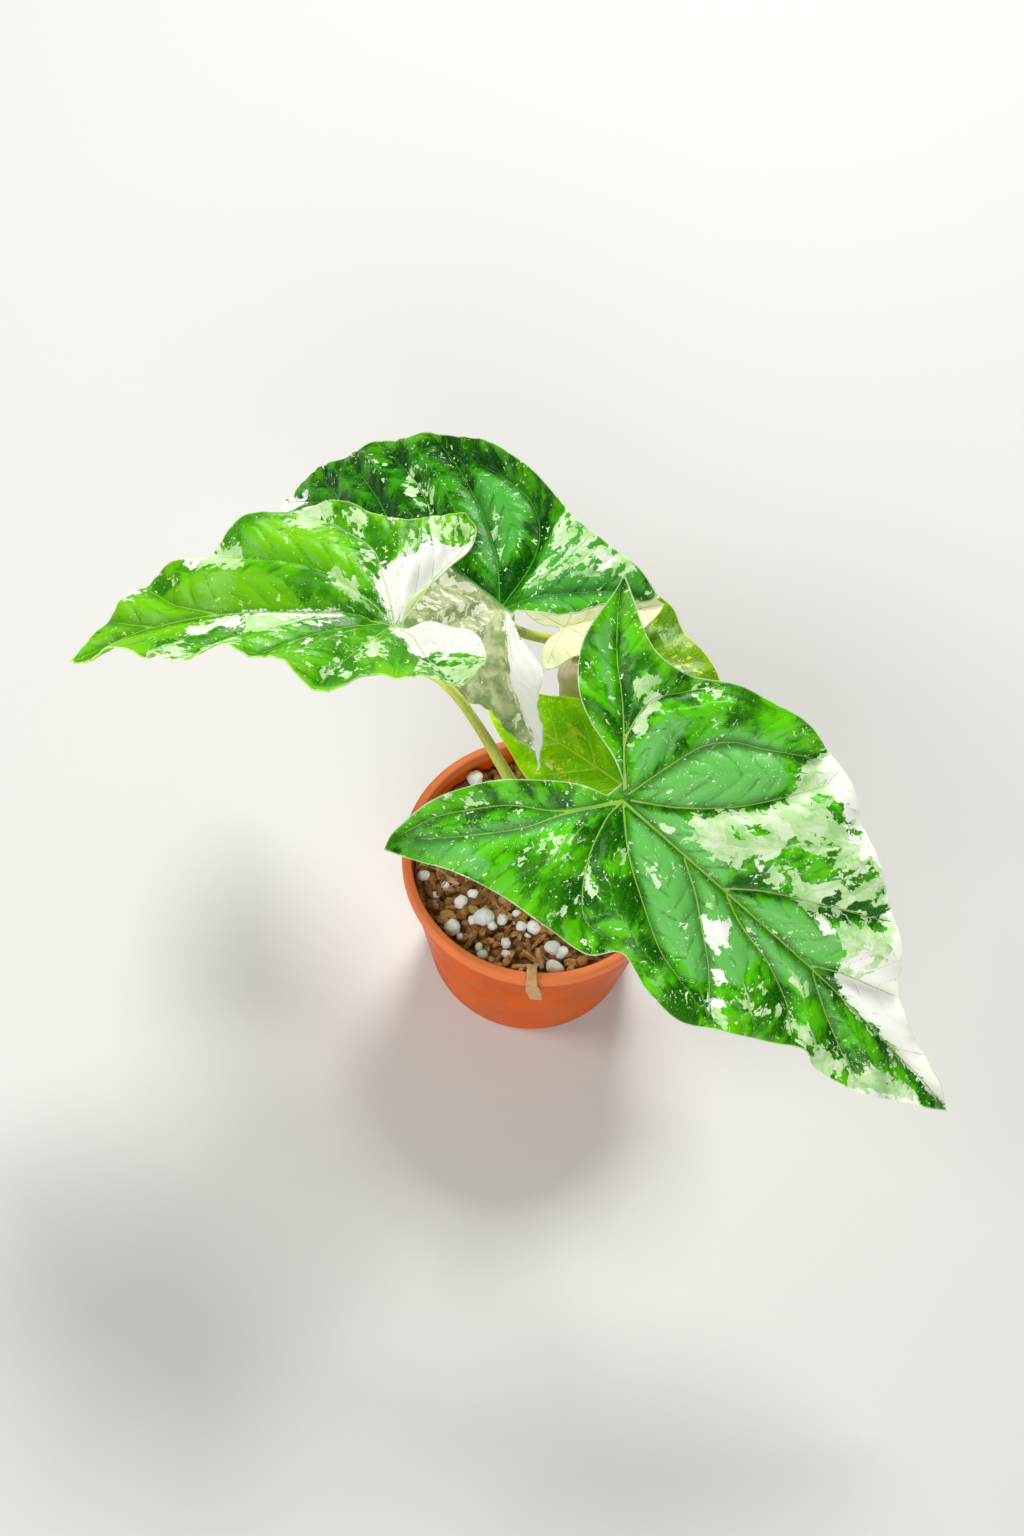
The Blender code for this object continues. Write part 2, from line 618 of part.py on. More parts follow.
def make_pot():
    """Tapered pot with a rolled lip, a flat base and a ring of drain holes."""
    lip = POT_LIP_RADIUS
    lip_low = POT_HEIGHT - POT_LIP_HEIGHT
    lip_inner = inner_radius(lip_low)
    profile = [(0.0, 0.0)]
    profile += rounded(POT_BASE_RADIUS - 2.0, 2.0, 2.0, -90, 0, 4)
    profile += [(pot_radius(lip_low), lip_low - 0.4)]
    profile += rounded(lip - 1.2, lip_low + 0.9, 1.2, -60, 0, 3)
    profile += rounded(lip - 1.4, POT_HEIGHT - 1.4, 1.4, 0, 90, 4)
    profile += rounded(lip_inner + 1.0, POT_HEIGHT - 1.0, 1.0, 90, 180, 3)
    profile += [(lip_inner, lip_low), (inner_radius(POT_FLOOR + 3.0), POT_FLOOR + 3.0)]
    profile += [(inner_radius(POT_FLOOR) - 2.0, POT_FLOOR), (0.0, POT_FLOOR)]
    pot = turned_profile("pot", profile, POT_SIDES, TERRACOTTA, 0.4)
    holes = new_collection("drain_holes")
    for index in range(DRAIN_HOLES):
        turn = 2 * math.pi * index / DRAIN_HOLES
        x, y = DRAIN_RING_RADIUS * math.cos(turn), DRAIN_RING_RADIUS * math.sin(turn)
        cylinder_between("drain_hole", x, y, -3.0, POT_FLOOR + 3.0, DRAIN_HOLE_RADIUS, 12, holes)
    apply_boolean(pot, "DIFFERENCE", holes)
    shade_round(pot)


def mix_surface(x, y):
    """Gentle uneven height of the mix."""
    return MIX_TOP + 0.7 * math.sin(x * 0.17 + 1.0) * math.cos(y * 0.21) + 0.4 * math.sin(x * 0.4 - y * 0.33)


def make_mix_body():
    """The mix that fills the pot, with an uneven top."""
    low = POT_FLOOR + GAP
    profile = [(0.0, low), (inner_radius(low) - 2.0 - GAP, low), (inner_radius(low + 3.0) - GAP, low + 3.0)]
    profile += [(inner_radius(MIX_TOP - 2.0) - GAP, MIX_TOP - 2.0)]
    for share in (0.97, 0.8, 0.58, 0.32):
        profile.append((share * (inner_radius(MIX_TOP) - GAP), MIX_TOP))
    profile.append((0.0, MIX_TOP))
    body = turned_profile("potting_mix", profile, 30, MIX_BROWN, 0.9)
    for vertex in body.data.vertices:
        if vertex.co.z > (MIX_TOP - 0.5) * MM:
            vertex.co.z = mix_surface(vertex.co.x / MM, vertex.co.y / MM) * MM
    return body


def add_chip(draw, x, y, collection):
    """An uneven block of bark, tilted and half sunk."""
    length, width, height = draw.uniform(6, 12), draw.uniform(3.5, 6), draw.uniform(2.2, 4)
    yaw, tilt = draw.uniform(0, math.pi), draw.uniform(-0.45, 0.45)
    corners = []
    for sx, sy, sz in ((-1, -1, -1), (1, -1, -1), (1, 1, -1), (-1, 1, -1),
                       (-1, -1, 1), (1, -1, 1), (1, 1, 1), (-1, 1, 1)):
        px = sx * length / 2 * draw.uniform(0.75, 1.0)
        py = sy * width / 2 * draw.uniform(0.75, 1.0)
        pz = sz * height / 2
        lifted = pz * math.cos(tilt) + px * math.sin(tilt)
        reach = px * math.cos(tilt) - pz * math.sin(tilt)
        corners.append((x + reach * math.cos(yaw) - py * math.sin(yaw),
                        y + reach * math.sin(yaw) + py * math.cos(yaw),
                        mix_surface(x, y) + lifted + 0.3))
    faces = [(0, 3, 2, 1), (4, 5, 6, 7), (0, 1, 5, 4), (1, 2, 6, 5), (2, 3, 7, 6), (3, 0, 4, 7)]
    add_object("bark_chip", corners, faces, collection=collection)


def add_perlite(draw, x, y, size, collection):
    """A lumpy grain, half sunk."""
    grain = bmesh.new()
    bmesh.ops.create_icosphere(grain, subdivisions=1, radius=size / 2)
    for vertex in grain.verts:
        vertex.co *= draw.uniform(0.85, 1.1)
        vertex.co.x += x
        vertex.co.y += y
        vertex.co.z = vertex.co.z * 0.85 + mix_surface(x, y) + 0.25 * size
    mesh = bpy.data.meshes.new("perlite")
    grain.to_mesh(mesh)
    grain.free()
    mesh.transform(((MM, 0, 0, 0), (0, MM, 0, 0), (0, 0, MM, 0), (0, 0, 0, 1)))
    collection.objects.link(bpy.data.objects.new("perlite", mesh))


def add_rim_sliver(collection):
    """A long splinter of bark, rooted in the mix, that lies over the pot's front lip and widens below it."""
    clear = 0.5
    thick = 1.1
    lip_front = -(POT_LIP_RADIUS + clear)
    under = [(-42.0, MIX_TOP - 3.0), (-45.6, POT_HEIGHT + clear),
             (lip_front + 1.0, POT_HEIGHT + clear + 0.3), (lip_front, POT_HEIGHT - 1.0),
             (lip_front - 0.2, POT_HEIGHT - 6.0), (lip_front - 0.6, POT_HEIGHT - 12.0)]
    over = [(-40.0, MIX_TOP - 3.0), (-44.2, POT_HEIGHT + clear + thick),
            (lip_front - 0.2, POT_HEIGHT + clear + thick), (lip_front - thick, POT_HEIGHT - 0.6),
            (lip_front - thick - 0.4, POT_HEIGHT - 6.2), (lip_front - thick - 0.5, POT_HEIGHT - 12.2)]
    halves = (2.2, 1.2, 1.0, 1.2, 2.2, 1.6)
    middles = (0.5, 1.0, 1.4, 1.8, 2.6, 3.8)
    vertices = []
    for side in (-1, 1):
        for (y, z), half, middle in zip(under + over[::-1], halves + halves[::-1], middles + middles[::-1]):
            vertices.append((middle + side * half, y, z))
    count = len(under) + len(over)
    faces = [(i, i + 1, count + i + 1, count + i) for i in range(count - 1)]
    faces.append((count - 1, 0, count, 2 * count - 1))
    faces.append(tuple(range(count))[::-1])
    faces.append(tuple(range(count, 2 * count)))
    sliver = add_object("rim_sliver", vertices, faces, collection=collection)
    bm = bmesh.new()
    bm.from_mesh(sliver.data)
    bmesh.ops.triangulate(bm, faces=bm.faces)
    bmesh.ops.recalc_face_normals(bm, faces=bm.faces)
    bm.to_mesh(sliver.data)
    bm.free()


def make_potting_mix():
    """Bark chips and perlite joined to the mix, with a plain hole for each stalk."""
    body = make_mix_body()
    draw = random.Random(MIX_SEED)
    pieces = new_collection("mix_pieces")
    reach = inner_radius(MIX_TOP) - 8.0
    for _ in range(CHIP_COUNT):
        turn, radius = draw.uniform(0, 2 * math.pi), reach * math.sqrt(draw.random())
        add_chip(draw, radius * math.cos(turn), radius * math.sin(turn), pieces)
    for _ in range(PERLITE_COUNT):
        turn, radius = draw.uniform(0, 2 * math.pi), (reach + 2.0) * math.sqrt(draw.random())
        add_perlite(draw, radius * math.cos(turn), radius * math.sin(turn), draw.uniform(3.5, 7.5), pieces)
    add_rim_sliver(pieces)
    apply_boolean(body, "UNION", pieces)
    holes = new_collection("stalk_holes")
    feet = [(STEM_ROUTE[0], STEM_RADII[0])]
    feet += [(plan["route"][0], plan["foot_radius"]) for plan in PETIOLES.values()
             if "seat_turn" not in plan]
    for (x, y, _), radius in feet:
        cylinder_between("stalk_hole", x, y, STEM_HOLE_FLOOR - GAP, MIX_TOP + 12.0,
                         radius + STEM_HOLE_CLEARANCE, 14, holes)
    apply_boolean(body, "DIFFERENCE", holes)
    body.data.name = "potting_mix"


def main():
    clear_scene()
    make_pot()
    make_potting_mix()
    make_tube("stem", STEM_ROUTE, STEM_RADII, 14, 7.0, STEM_TAN, 0.7)
    for leaf in LEAVES:
        make_blade(leaf)
        make_petiole(leaf)


main()
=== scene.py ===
"""A variegated arrowhead plant in its nursery pot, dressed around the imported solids.

The file is laid out as an add-on and is run as a script. Sizes and places of the plant and the pot are
in millimetres, in the same frame as the solids, and become metres when a mesh is made. Those of lights,
camera and relief, and the settings' defaults, are in metres.
"""
import json
import math
import random
from dataclasses import dataclass, field, replace

import bmesh
import bpy
import numpy as np
from bpy.props import FloatProperty, FloatVectorProperty, IntProperty, PointerProperty
from mathutils import Matrix, Vector
from mathutils.geometry import delaunay_2d_cdt

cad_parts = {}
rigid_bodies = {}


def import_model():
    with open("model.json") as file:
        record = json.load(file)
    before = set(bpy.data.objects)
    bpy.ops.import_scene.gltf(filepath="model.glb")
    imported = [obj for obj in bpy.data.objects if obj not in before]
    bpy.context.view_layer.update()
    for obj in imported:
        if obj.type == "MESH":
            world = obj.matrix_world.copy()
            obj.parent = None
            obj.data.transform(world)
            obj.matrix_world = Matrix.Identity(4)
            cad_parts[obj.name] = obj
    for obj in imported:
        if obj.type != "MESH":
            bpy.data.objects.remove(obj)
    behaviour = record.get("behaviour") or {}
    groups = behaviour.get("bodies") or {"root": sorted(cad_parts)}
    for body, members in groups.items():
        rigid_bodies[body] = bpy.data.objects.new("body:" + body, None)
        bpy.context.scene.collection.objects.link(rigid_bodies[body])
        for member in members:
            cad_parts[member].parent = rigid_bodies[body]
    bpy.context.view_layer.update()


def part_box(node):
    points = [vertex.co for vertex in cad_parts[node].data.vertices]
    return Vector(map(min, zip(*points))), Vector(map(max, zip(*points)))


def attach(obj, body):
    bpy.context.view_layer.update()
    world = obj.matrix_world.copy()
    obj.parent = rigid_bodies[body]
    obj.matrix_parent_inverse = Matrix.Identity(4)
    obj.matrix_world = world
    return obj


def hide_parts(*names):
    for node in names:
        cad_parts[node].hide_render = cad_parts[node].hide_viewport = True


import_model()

bl_info = {
    "name": "Potted Arrowhead Plant",
    "version": (1, 0, 0),
    "blender": (4, 5, 0),
    "location": "3D View > Sidebar > Arrowhead",
    "description": "Leaves, stalks, potting mix and pot of a variegated arrowhead plant",
    "category": "Add Mesh",
}

MM = 0.001
BODY = "root"

# The pot and the top of the mix
POT_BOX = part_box("pot")
POT_LIP_RADIUS = POT_BOX[1][0] / MM
POT_HEIGHT = POT_BOX[1][2] / MM
POT_BASE_RADIUS = 37.8
POT_BASE_ROUNDING = 2.0
POT_LIP_HEIGHT = 5.6
POT_LIP_REACH = 1.9
POT_WALL = 1.6
POT_FLOOR = 2.2
POT_FLOOR_BEVEL = 3.0
DRAIN_HOLES = 6
DRAIN_RING_RADIUS = 25.0
DRAIN_HOLE_RADIUS = 4.0
MIX_TOP = 62.0
GAP = 0.35

# The relief of a blade and its small veins
RIB_VALLEY_WIDTH = 5.0
RIDGE_FADE = 14.0
RIPPLE_REACH = 9.0
FLAT_ROUND_JOINT = 7.0
UNFOLD_START = 35.0
UNFOLD_LENGTH = 70.0
SIDE_VEIN_SPACING = 5.6
SIDE_VEIN_LEAN = 38.0
RIB_RUN_ON = 20.0
MIDRIB_HALF_WIDTH = 0.52
RIB_HALF_WIDTH = 0.32
RIB_TIP_HALF_WIDTH = 0.06
PAD_EDGE = 1.3
PAD_FROM_RIB = 3.0
PAD_FROM_SECTOR = 2.5


@dataclass
class Leaf:
    """A blade drawn flat, the bends that carry it to its place, and its patches of pale tissue, the milky ones
    with a painted sheen.

    The flat blade has u across it, positive on the right seen from the petiole, and v along
    its midrib towards the tip. Both are zero at the petiole joint. Patches are outlines in
    the same flat millimetres. A speckled patch comes with how far its share of pale tissue
    leans from a half, negative for less.
    """
    name: str
    joint: tuple
    heading: float
    pitch: float
    roll: float
    fold_right: float
    fold_left: float
    droop: float
    strokes: list
    ribs: list
    curl_right: float = 0.0
    curl_left: float = 0.0
    lobe_lift: float = 0.0
    unfold_left: float = 0.0
    bulge: float = 2.0
    pads: float = 0.2
    ripple: float = 1.2
    ripple_length: float = 26.0
    dents: list = field(default_factory=list)
    ridges: list = field(default_factory=list)
    white: list = field(default_factory=list)
    mint: list = field(default_factory=list)
    islands: list = field(default_factory=list)
    speckled: list = field(default_factory=list)
    # Milky patches are half-pale tissue with a painted sheen in them.
    milky: list = field(default_factory=list)
    dull: list = field(default_factory=list)


def side_ribs(starts, reach, angle, side):
    """Straight secondary ribs that leave the midrib towards one margin."""
    lean = math.radians(angle)
    ribs = []
    for start, length in zip(starts, reach):
        end = (side * length * math.sin(lean), start + length * math.cos(lean))
        ribs.append([(side * 0.8, start), end])
    return ribs


def scaled(lines, across, along):
    """The same lines with their u and v stretched."""
    return [[(u * across, v * along) for u, v in line] for line in lines]


FRONT_STROKES = [
    [(2, -5), (8, -18), (16, -28), (27, -39), (42, -47), (57, -50), (64, -48)],
    [(64, -48), (60, -38), (54, -25), (50, -9), (48, 8), (46, 24), (38, 33), (42, 47), (42, 62), (35, 75),
     (27, 90), (22, 100), (24, 108), (20, 125), (12, 140), (4, 156)],
    [(4, 156), (0, 147), (-4, 135), (-11, 116), (-25, 102), (-37, 84), (-46, 67), (-55, 51), (-59, 34),
     (-58, 18), (-52, 0), (-45, -13), (-44, -24), (-49, -35), (-57, -49)],
    [(-57, -49), (-44, -47), (-30, -44), (-19, -36), (-13, -26), (-9, -12), (-5, -4)],
]
FRONT_RIBS = [
    [(0, 0), (0, 40), (0, 90), (2, 132), (4, 152)],
    [(1, -1), (16, -13), (27, -28), (44, -42), (58, -48)],
    [(2, -1), (17, -12), (29, -19), (43, -31), (54, -42)],
    [(-3, -2), (-22, -19), (-38, -36), (-53, -47)],
    [(1, 0), (9, 0), (24, 5), (37, 15), (38, 26)],
    [(1, 1), (12, 13), (21, 27), (29, 42), (32, 53)],
    [(-2, 2), (-11, 16), (-24, 30), (-40, 42), (-50, 48)],
    [(-3, 0), (-19, 4), (-31, 8), (-39, 15), (-44, 24), (-54, 40)],
    [(-4, -2), (-15, -12), (-30, -15), (-40, -9), (-48, -3)],
    [(1, 28), (7, 38), (14, 47), (23, 58), (34, 68)],
    [(1, 47), (5, 57), (8, 71), (14, 85), (22, 94)],
    [(-1, 45), (-8, 54), (-15, 66), (-22, 80), (-28, 92)],
    [(1, 86), (8, 98), (14, 112), (18, 122)],
    [(-1, 84), (-6, 94), (-10, 106), (-12, 112)],
]
FRONT_RIDGES = [([(-48, 8), (-43, 1), (-36, -4), (-29, -9), (-15, -7)], 3.6, 8.0, 2.2)]

LEFT_STROKES = [
    [(1, -2), (9, -2), (17, -5), (26, -15), (36, -23), (45, -26), (50, -21)],
    [(50, -21), (49, -8), (43, 3), (45, 12), (48, 23), (44, 42), (41, 54), (33, 62), (26, 68), (27, 78),
     (22, 88), (16, 96), (13, 104), (7, 110), (2, 117)],
    [(2, 117), (-7, 105), (-11, 94), (-17, 85), (-30, 74), (-35, 65), (-31, 54), (-36, 44), (-44, 34),
     (-51, 26), (-53, 18), (-49, 11), (-43, 3), (-47, -10), (-47, -21), (-44, -28), (-37, -34)],
    [(-37, -34), (-20, -32), (-10, -27), (-4, -19), (-2, -10), (-1, -2)],
]
LEFT_RIBS = [
    [(0, 0), (1, 35), (3, 75), (3, 100), (2, 114)],
    [(1, -1), (18, -7), (32, -18), (46, -24)],
    [(-1, -1), (-12, -6), (-24, -12), (-40, -22)],
    [(1, 1), (19, 7), (31, 12), (38, 22), (43, 34)],
    [(-1, 2), (-14, 8), (-24, 12), (-36, 17), (-44, 22)],
    [(2, 3), (11, 14), (20, 29), (24, 46), (28, 62)],
    [(-1, 6), (-14, 26), (-30, 42)],
    [(-1, 30), (-12, 48), (-26, 62)],
    [(-1, 58), (-8, 70), (-18, 80)],
    [(3, 62), (10, 76), (20, 86)],
    [(3, 84), (8, 94), (13, 102)],
]
LEFT_RIDGES = [([(3, 8), (7, 16), (15, 31), (18, 44), (19, 58), (22, 68)], 5.4, 8.5, 2.0)]

BACK_STROKES = [
    [(2, -4), (5, -12), (12, -20), (21, -27), (30, -35), (37, -39)],
    [(37, -39), (40, -28), (40, -12), (40, 2), (43, 15), (46, 30), (46, 46), (43, 62), (38, 77), (31, 92),
     (23, 106), (14, 118), (6, 126), (0, 130)],
    [(0, 130), (-9, 116), (-20, 101), (-32, 85), (-42, 67), (-48, 48), (-51, 32), (-51, 17), (-48, 2),
     (-46, -10), (-48, -19), (-52, -25), (-58, -30)],
    [(-58, -30), (-45, -31), (-34, -29), (-19, -25), (-9, -23), (-3, -15), (-2, -4)],
]
BACK_RIBS = [
    [(0, 0), (1, 30), (2, 70), (2, 110), (0, 126)],
    [(1, -1), (9, -5), (19, -14), (28, -25), (35, -36)],
    [(-1, -1), (-13, -3), (-25, -6), (-36, -15), (-46, -24), (-55, -29)],
    [(1, 1), (18, 4), (29, 10), (36, 20), (38, 32), (38, 46)],
    [(-1, 2), (-11, 5), (-24, 14), (-44, 18)],
    [(1, 3), (12, 15), (24, 34), (34, 55), (38, 66)],
    [(-1, 4), (-16, 26), (-38, 48)],
    [(1, 30), (12, 46), (22, 66), (28, 86)],
    [(-1, 34), (-14, 54), (-30, 76)],
    [(2, 60), (10, 76), (18, 96)],
    [(-1, 66), (-10, 82), (-18, 96)],
    [(2, 88), (7, 100), (11, 112)],
]

SMALL_STROKES = [
    [(1.5, -3), (5, -11), (11, -17), (18, -20), (24, -20)],
    [(24, -20), (25, -12), (23, -2), (25, 9), (25, 20), (22, 32), (15, 44), (8, 54), (0, 63)],
    [(0, 63), (-8, 54), (-15, 44), (-22, 32), (-25, 20), (-25, 9), (-23, -2), (-25, -12), (-24, -20)],
    [(-24, -20), (-18, -20), (-11, -17), (-5, -11), (-1.5, -3)],
]
SMALL_RIBS = [
    [(0, 0), (0, 30), (0, 58)],
    [(1, -1), (10, -9), (20, -17)],
    [(-1, -1), (-10, -9), (-20, -17)],
    [(1, 2), (11, 9), (21, 12)],
    [(-1, 2), (-11, 9), (-21, 12)],
] + side_ribs((14, 30), (20, 15), 50, 1) + side_ribs((13, 29), (20, 15), 50, -1)

FRONT_LEAF = Leaf(
    "blade_front", (24, -26, 165), -32, -16, -22, 6, 6, -0.002, FRONT_STROKES, FRONT_RIBS,
    curl_right=-0.003, curl_left=-0.004, lobe_lift=-0.002, bulge=3.0, pads=0.42, ripple=1.8,
    dents=[(44, 54, 9, 3.5), (38, 32, 8, -3.0), (27, 88, 9, 3.0), (20, 104, 7, -2.5)], ridges=FRONT_RIDGES,
    white=[
        [(5, 160), (4, 145), (3, 135), (2, 125), (1, 117), (2, 108), (0, 98), (-5, 92), (-9, 97), (-15, 100),
         (-21, 99), (-30, 100), (-24, 114), (-16, 124), (-8, 142)],
        [(-40, 70), (-43, 61), (-47, 51), (-52, 42), (-62, 40), (-50, 75), (-40, 95), (-28, 108), (-23, 102),
         (-29, 95), (-34, 87), (-38, 78), (-39, 72)],
        [(-8, 91), (-14, 92), (-19, 95), (-15, 98), (-8, 97)],
        [(-14, 74), (-17, 77), (-16, 81), (-13, 79), (-12, 75)],
        [(-11, 44), (-14, 48), (-13, 51), (-9, 47)],
        [(6, 53), (8, 55), (12, 57), (15, 58), (18, 55), (16, 51), (14, 47), (11, 46), (10, 49), (7, 50)],
        [(19, 62), (21, 65), (23, 63), (22, 60)],
        [(27, 70), (31, 69), (32, 66), (30, 64)],
        [(9, 142), (13, 136), (18, 127), (24, 120), (24, 132), (12, 146)],
    ],
    mint=[
        [(-8, 20), (-12, 22), (-18, 26), (-23, 32), (-29, 37), (-37, 41), (-45, 38), (-52, 37), (-64, 40),
         (-62, 62), (-40, 100), (-20, 112), (-4, 140), (5, 158), (3, 145), (2, 135), (1, 125), (0, 115),
         (0, 103), (-2, 96), (-6, 91), (-11, 88), (-14, 84), (-14, 76), (-13, 70), (-14, 64), (-17, 57),
         (-18, 50), (-16, 46), (-11, 40), (-6, 33), (-8, 27)],
        [(6, 88), (8, 90), (9, 87), (8, 82), (6, 79), (5.5, 83)],
        [(9, 144), (9, 136), (10, 128), (12, 121), (15, 120), (17, 118), (20, 119), (26, 122), (24, 134),
         (14, 146)],
        [(15, 113), (18, 117), (22, 114), (27, 110), (28, 102), (22, 102), (20, 98), (19, 91), (17, 91),
         (17, 98), (18, 104), (16, 108)],
        [(-38, -17), (-35, -19), (-30, -18), (-29, -21), (-33, -25), (-36, -22)],
        [(-37, -14), (-28, -11), (-20, -9), (-15, -9), (-20, -13), (-27, -15), (-33, -17)],
        [(-49, 1), (-44, 2), (-43, 0), (-47, -1)], [(-47, -4), (-43, -3), (-45, -6)],
        [(31, -33), (33, -36), (35, -38), (38, -44), (36, -46), (34, -42), (32, -38)],
        [(11, 11), (15, 12), (14, 9)], [(14, 27), (13, 24), (11, 20), (12, 25)],
        [(28, 66), (31, 71), (34, 74), (33, 68)], [(23, 4), (28, 6), (30, 9), (26, 7)],
    ],
    islands=[
        [(-30, 70), (-25, 70), (-21, 64), (-20, 58), (-20, 51), (-25, 50), (-28, 53), (-27, 58), (-31, 62)],
        [(-46, 67), (-42, 68), (-42, 63), (-46, 61)], [(-47, 57), (-41, 57), (-41, 53), (-45, 52), (-48, 54)],
        [(-24, 43), (-20, 41), (-17, 37), (-18, 33), (-22, 38)], [(-47, 51), (-42, 49), (-40, 47), (-46, 49)],
        [(-24, 89), (-20, 87), (-21, 83), (-26, 85)],
    ],
    speckled=[
        ([(-39, 80), (-34, 91), (-26, 96), (-21, 88), (-15, 80), (-14, 72), (-20, 70), (-27, 72), (-35, 67),
          (-40, 72)], 0.0),
        ([(-39, 62), (-35, 67), (-30, 60), (-27, 51), (-32, 51), (-36, 56)], 0.0),
        ([(12, 70), (18, 68), (28, 69), (27, 77), (22, 87), (18, 92), (15, 86), (14, 78)], -0.5),
        ([(16, 1), (28, 0), (40, -8), (42, -16), (36, -16), (26, -12), (18, -6)], -1.0),
        ([(-7, 26), (-1, 25), (-1, 10), (-4, 12)], -0.6),
        ([(-18, 62), (-11, 58), (-6, 34), (-13, 40), (-19, 50)], 0.3),
        ([(1, 54), (6, 58), (10, 72), (7, 73), (2, 60)], -1.1), ([(2, 39), (11, 43), (11, 48), (3, 46)], -1.0),
        ([(0, 98), (3, 104), (3, 124), (1, 130), (0, 118)], -0.6),
        ([(36, 12), (48, 10), (46, 0), (40, 2)], -1.2), ([(20, 10), (34, 22), (42, 24), (36, 8)], -1.6),
    ],
    milky=[
        [(-47, 26), (-43, 12), (-32, 6), (-14, 3), (-5, 2), (-12, 16), (-22, 28), (-32, 36), (-42, 36)],
        [(-10, 20), (-1, 4), (-1, 46), (-7, 40), (-9, 30)],
        [(-14, 84), (-12, 66), (-2, 48), (-1, 88), (-8, 90)],
        [(1, 4), (8, 10), (18, 24), (27, 40), (28, 58), (20, 68), (9, 68), (2, 46)],
        [(1, 54), (7, 62), (9, 76), (6, 92), (2, 96)],
        [(44, -20), (50, -16), (58, -36), (62, -47), (54, -46), (46, -34)],
        [(8, -4), (20, -10), (34, -20), (48, -34), (44, -34), (28, -22), (12, -10)],
        [(-8, -2), (-20, 1), (-34, -1), (-30, -8), (-16, -8)], [(-20, -22), (-32, -34), (-48, -46), (-34, -42)],
    ])

LEFT_LEAF = Leaf(
    "blade_left", (-57, 26, 175), 178, 8, -22, 18, 10, -0.007, LEFT_STROKES, LEFT_RIBS,
    curl_left=0.002, lobe_lift=0.012, bulge=2.8, pads=0.48, ripple=1.5,
    dents=[(-50, 18, 13, -6), (-9, -14, 11, 4)],
    ridges=LEFT_RIDGES,
    white=[
        [(1, 1), (8, 7), (16, 10), (22, 10), (27, 5), (30, 0), (35, -3), (37, -8), (36, -15), (39, -20),
         (42, -30), (26, -20), (16, -8), (6, -4)],
        [(-3, 18), (2, 20), (1, 35), (2, 52), (1, 62), (-4, 69), (-9, 71), (-16, 68), (-17, 64), (-13, 59),
         (-12, 52), (-3, 50), (-2, 40), (-4, 28), (-7, 25)],
        [(0, 1), (-8, 3), (-13, 0), (-20, -4), (-25, -9), (-22, -16), (-24, -22), (-24, -34), (-8, -32),
         (0, -20)],
        [(-35, 30), (-30, 33), (-22, 34), (-24, 30), (-30, 26)],
        [(22, 67), (30, 64), (36, 62), (30, 72), (24, 72)], [(16, 90), (22, 89), (26, 82), (28, 90), (18, 96)],
        [(-36, 66), (-32, 70), (-20, 82), (-30, 84), (-42, 66)], [(46, 0), (44, 8), (50, 20), (54, 8)],
    ],
    mint=[
        [(-3, 28), (-1, 40), (-2, 50), (-13, 51), (-19, 46), (-18, 40), (-13, 33), (-8, 27)],
        [(16, 52), (22, 52), (30, 55), (31, 60), (33, 66), (22, 69), (18, 63), (16, 57)],
        [(-34, 3), (-33, 9), (-20, 10), (-12, 8), (-14, 6), (-22, 5)],
        [(8, 22), (17, 25), (20, 22), (16, 17), (6, 12), (4, 9), (3, 14)],
        [(34, 33), (40, 39), (50, 38), (46, 27), (38, 28)], [(-10, 0), (-20, -4), (-24, -9), (-14, -8)],
        [(-12, -26), (-20, -26), (-24, -31), (-14, -31)],
    ],
    speckled=[
        ([(28, 4), (42, 2), (52, -8), (52, -20), (44, -28), (39, -20), (36, -12), (36, -5), (30, -1)], 0.0),
        ([(-25, -9), (-40, -6), (-50, -14), (-47, -27), (-37, -36), (-24, -32), (-24, -20), (-21, -14)], -0.3),
        ([(-18, 82), (-30, 78), (-38, 66), (-36, 50), (-28, 46), (-19, 50), (-20, 60), (-18, 70),
          (-12, 78)], 0.0),
        ([(-40, 24), (-50, 18), (-48, 8), (-36, 12), (-30, 18)], -0.8),
        ([(-10, 12), (-30, 18), (-40, 36), (-30, 42), (-16, 30)], -1.1),
        ([(22, 14), (38, 24), (48, 24), (46, 4), (30, 6)], -0.7),
        ([(-19, 46), (-13, 33), (-4, 18), (-7, 30)], 0.0),
        ([(5, 12), (18, 26), (20, 40), (16, 30), (3, 10)], -0.5),
    ],
    # On this blade the milky patches are painted light on the far half, where the light falls.
    milky=[
        [(-14, 100), (-8, 84), (-9, 74), (1, 66), (3, 90), (2, 116)],
        [(3, 30), (14, 44), (18, 66), (14, 98), (3, 112)],
        [(16, 20), (24, 16), (38, 26), (40, 44), (30, 54), (18, 50)],
    ])

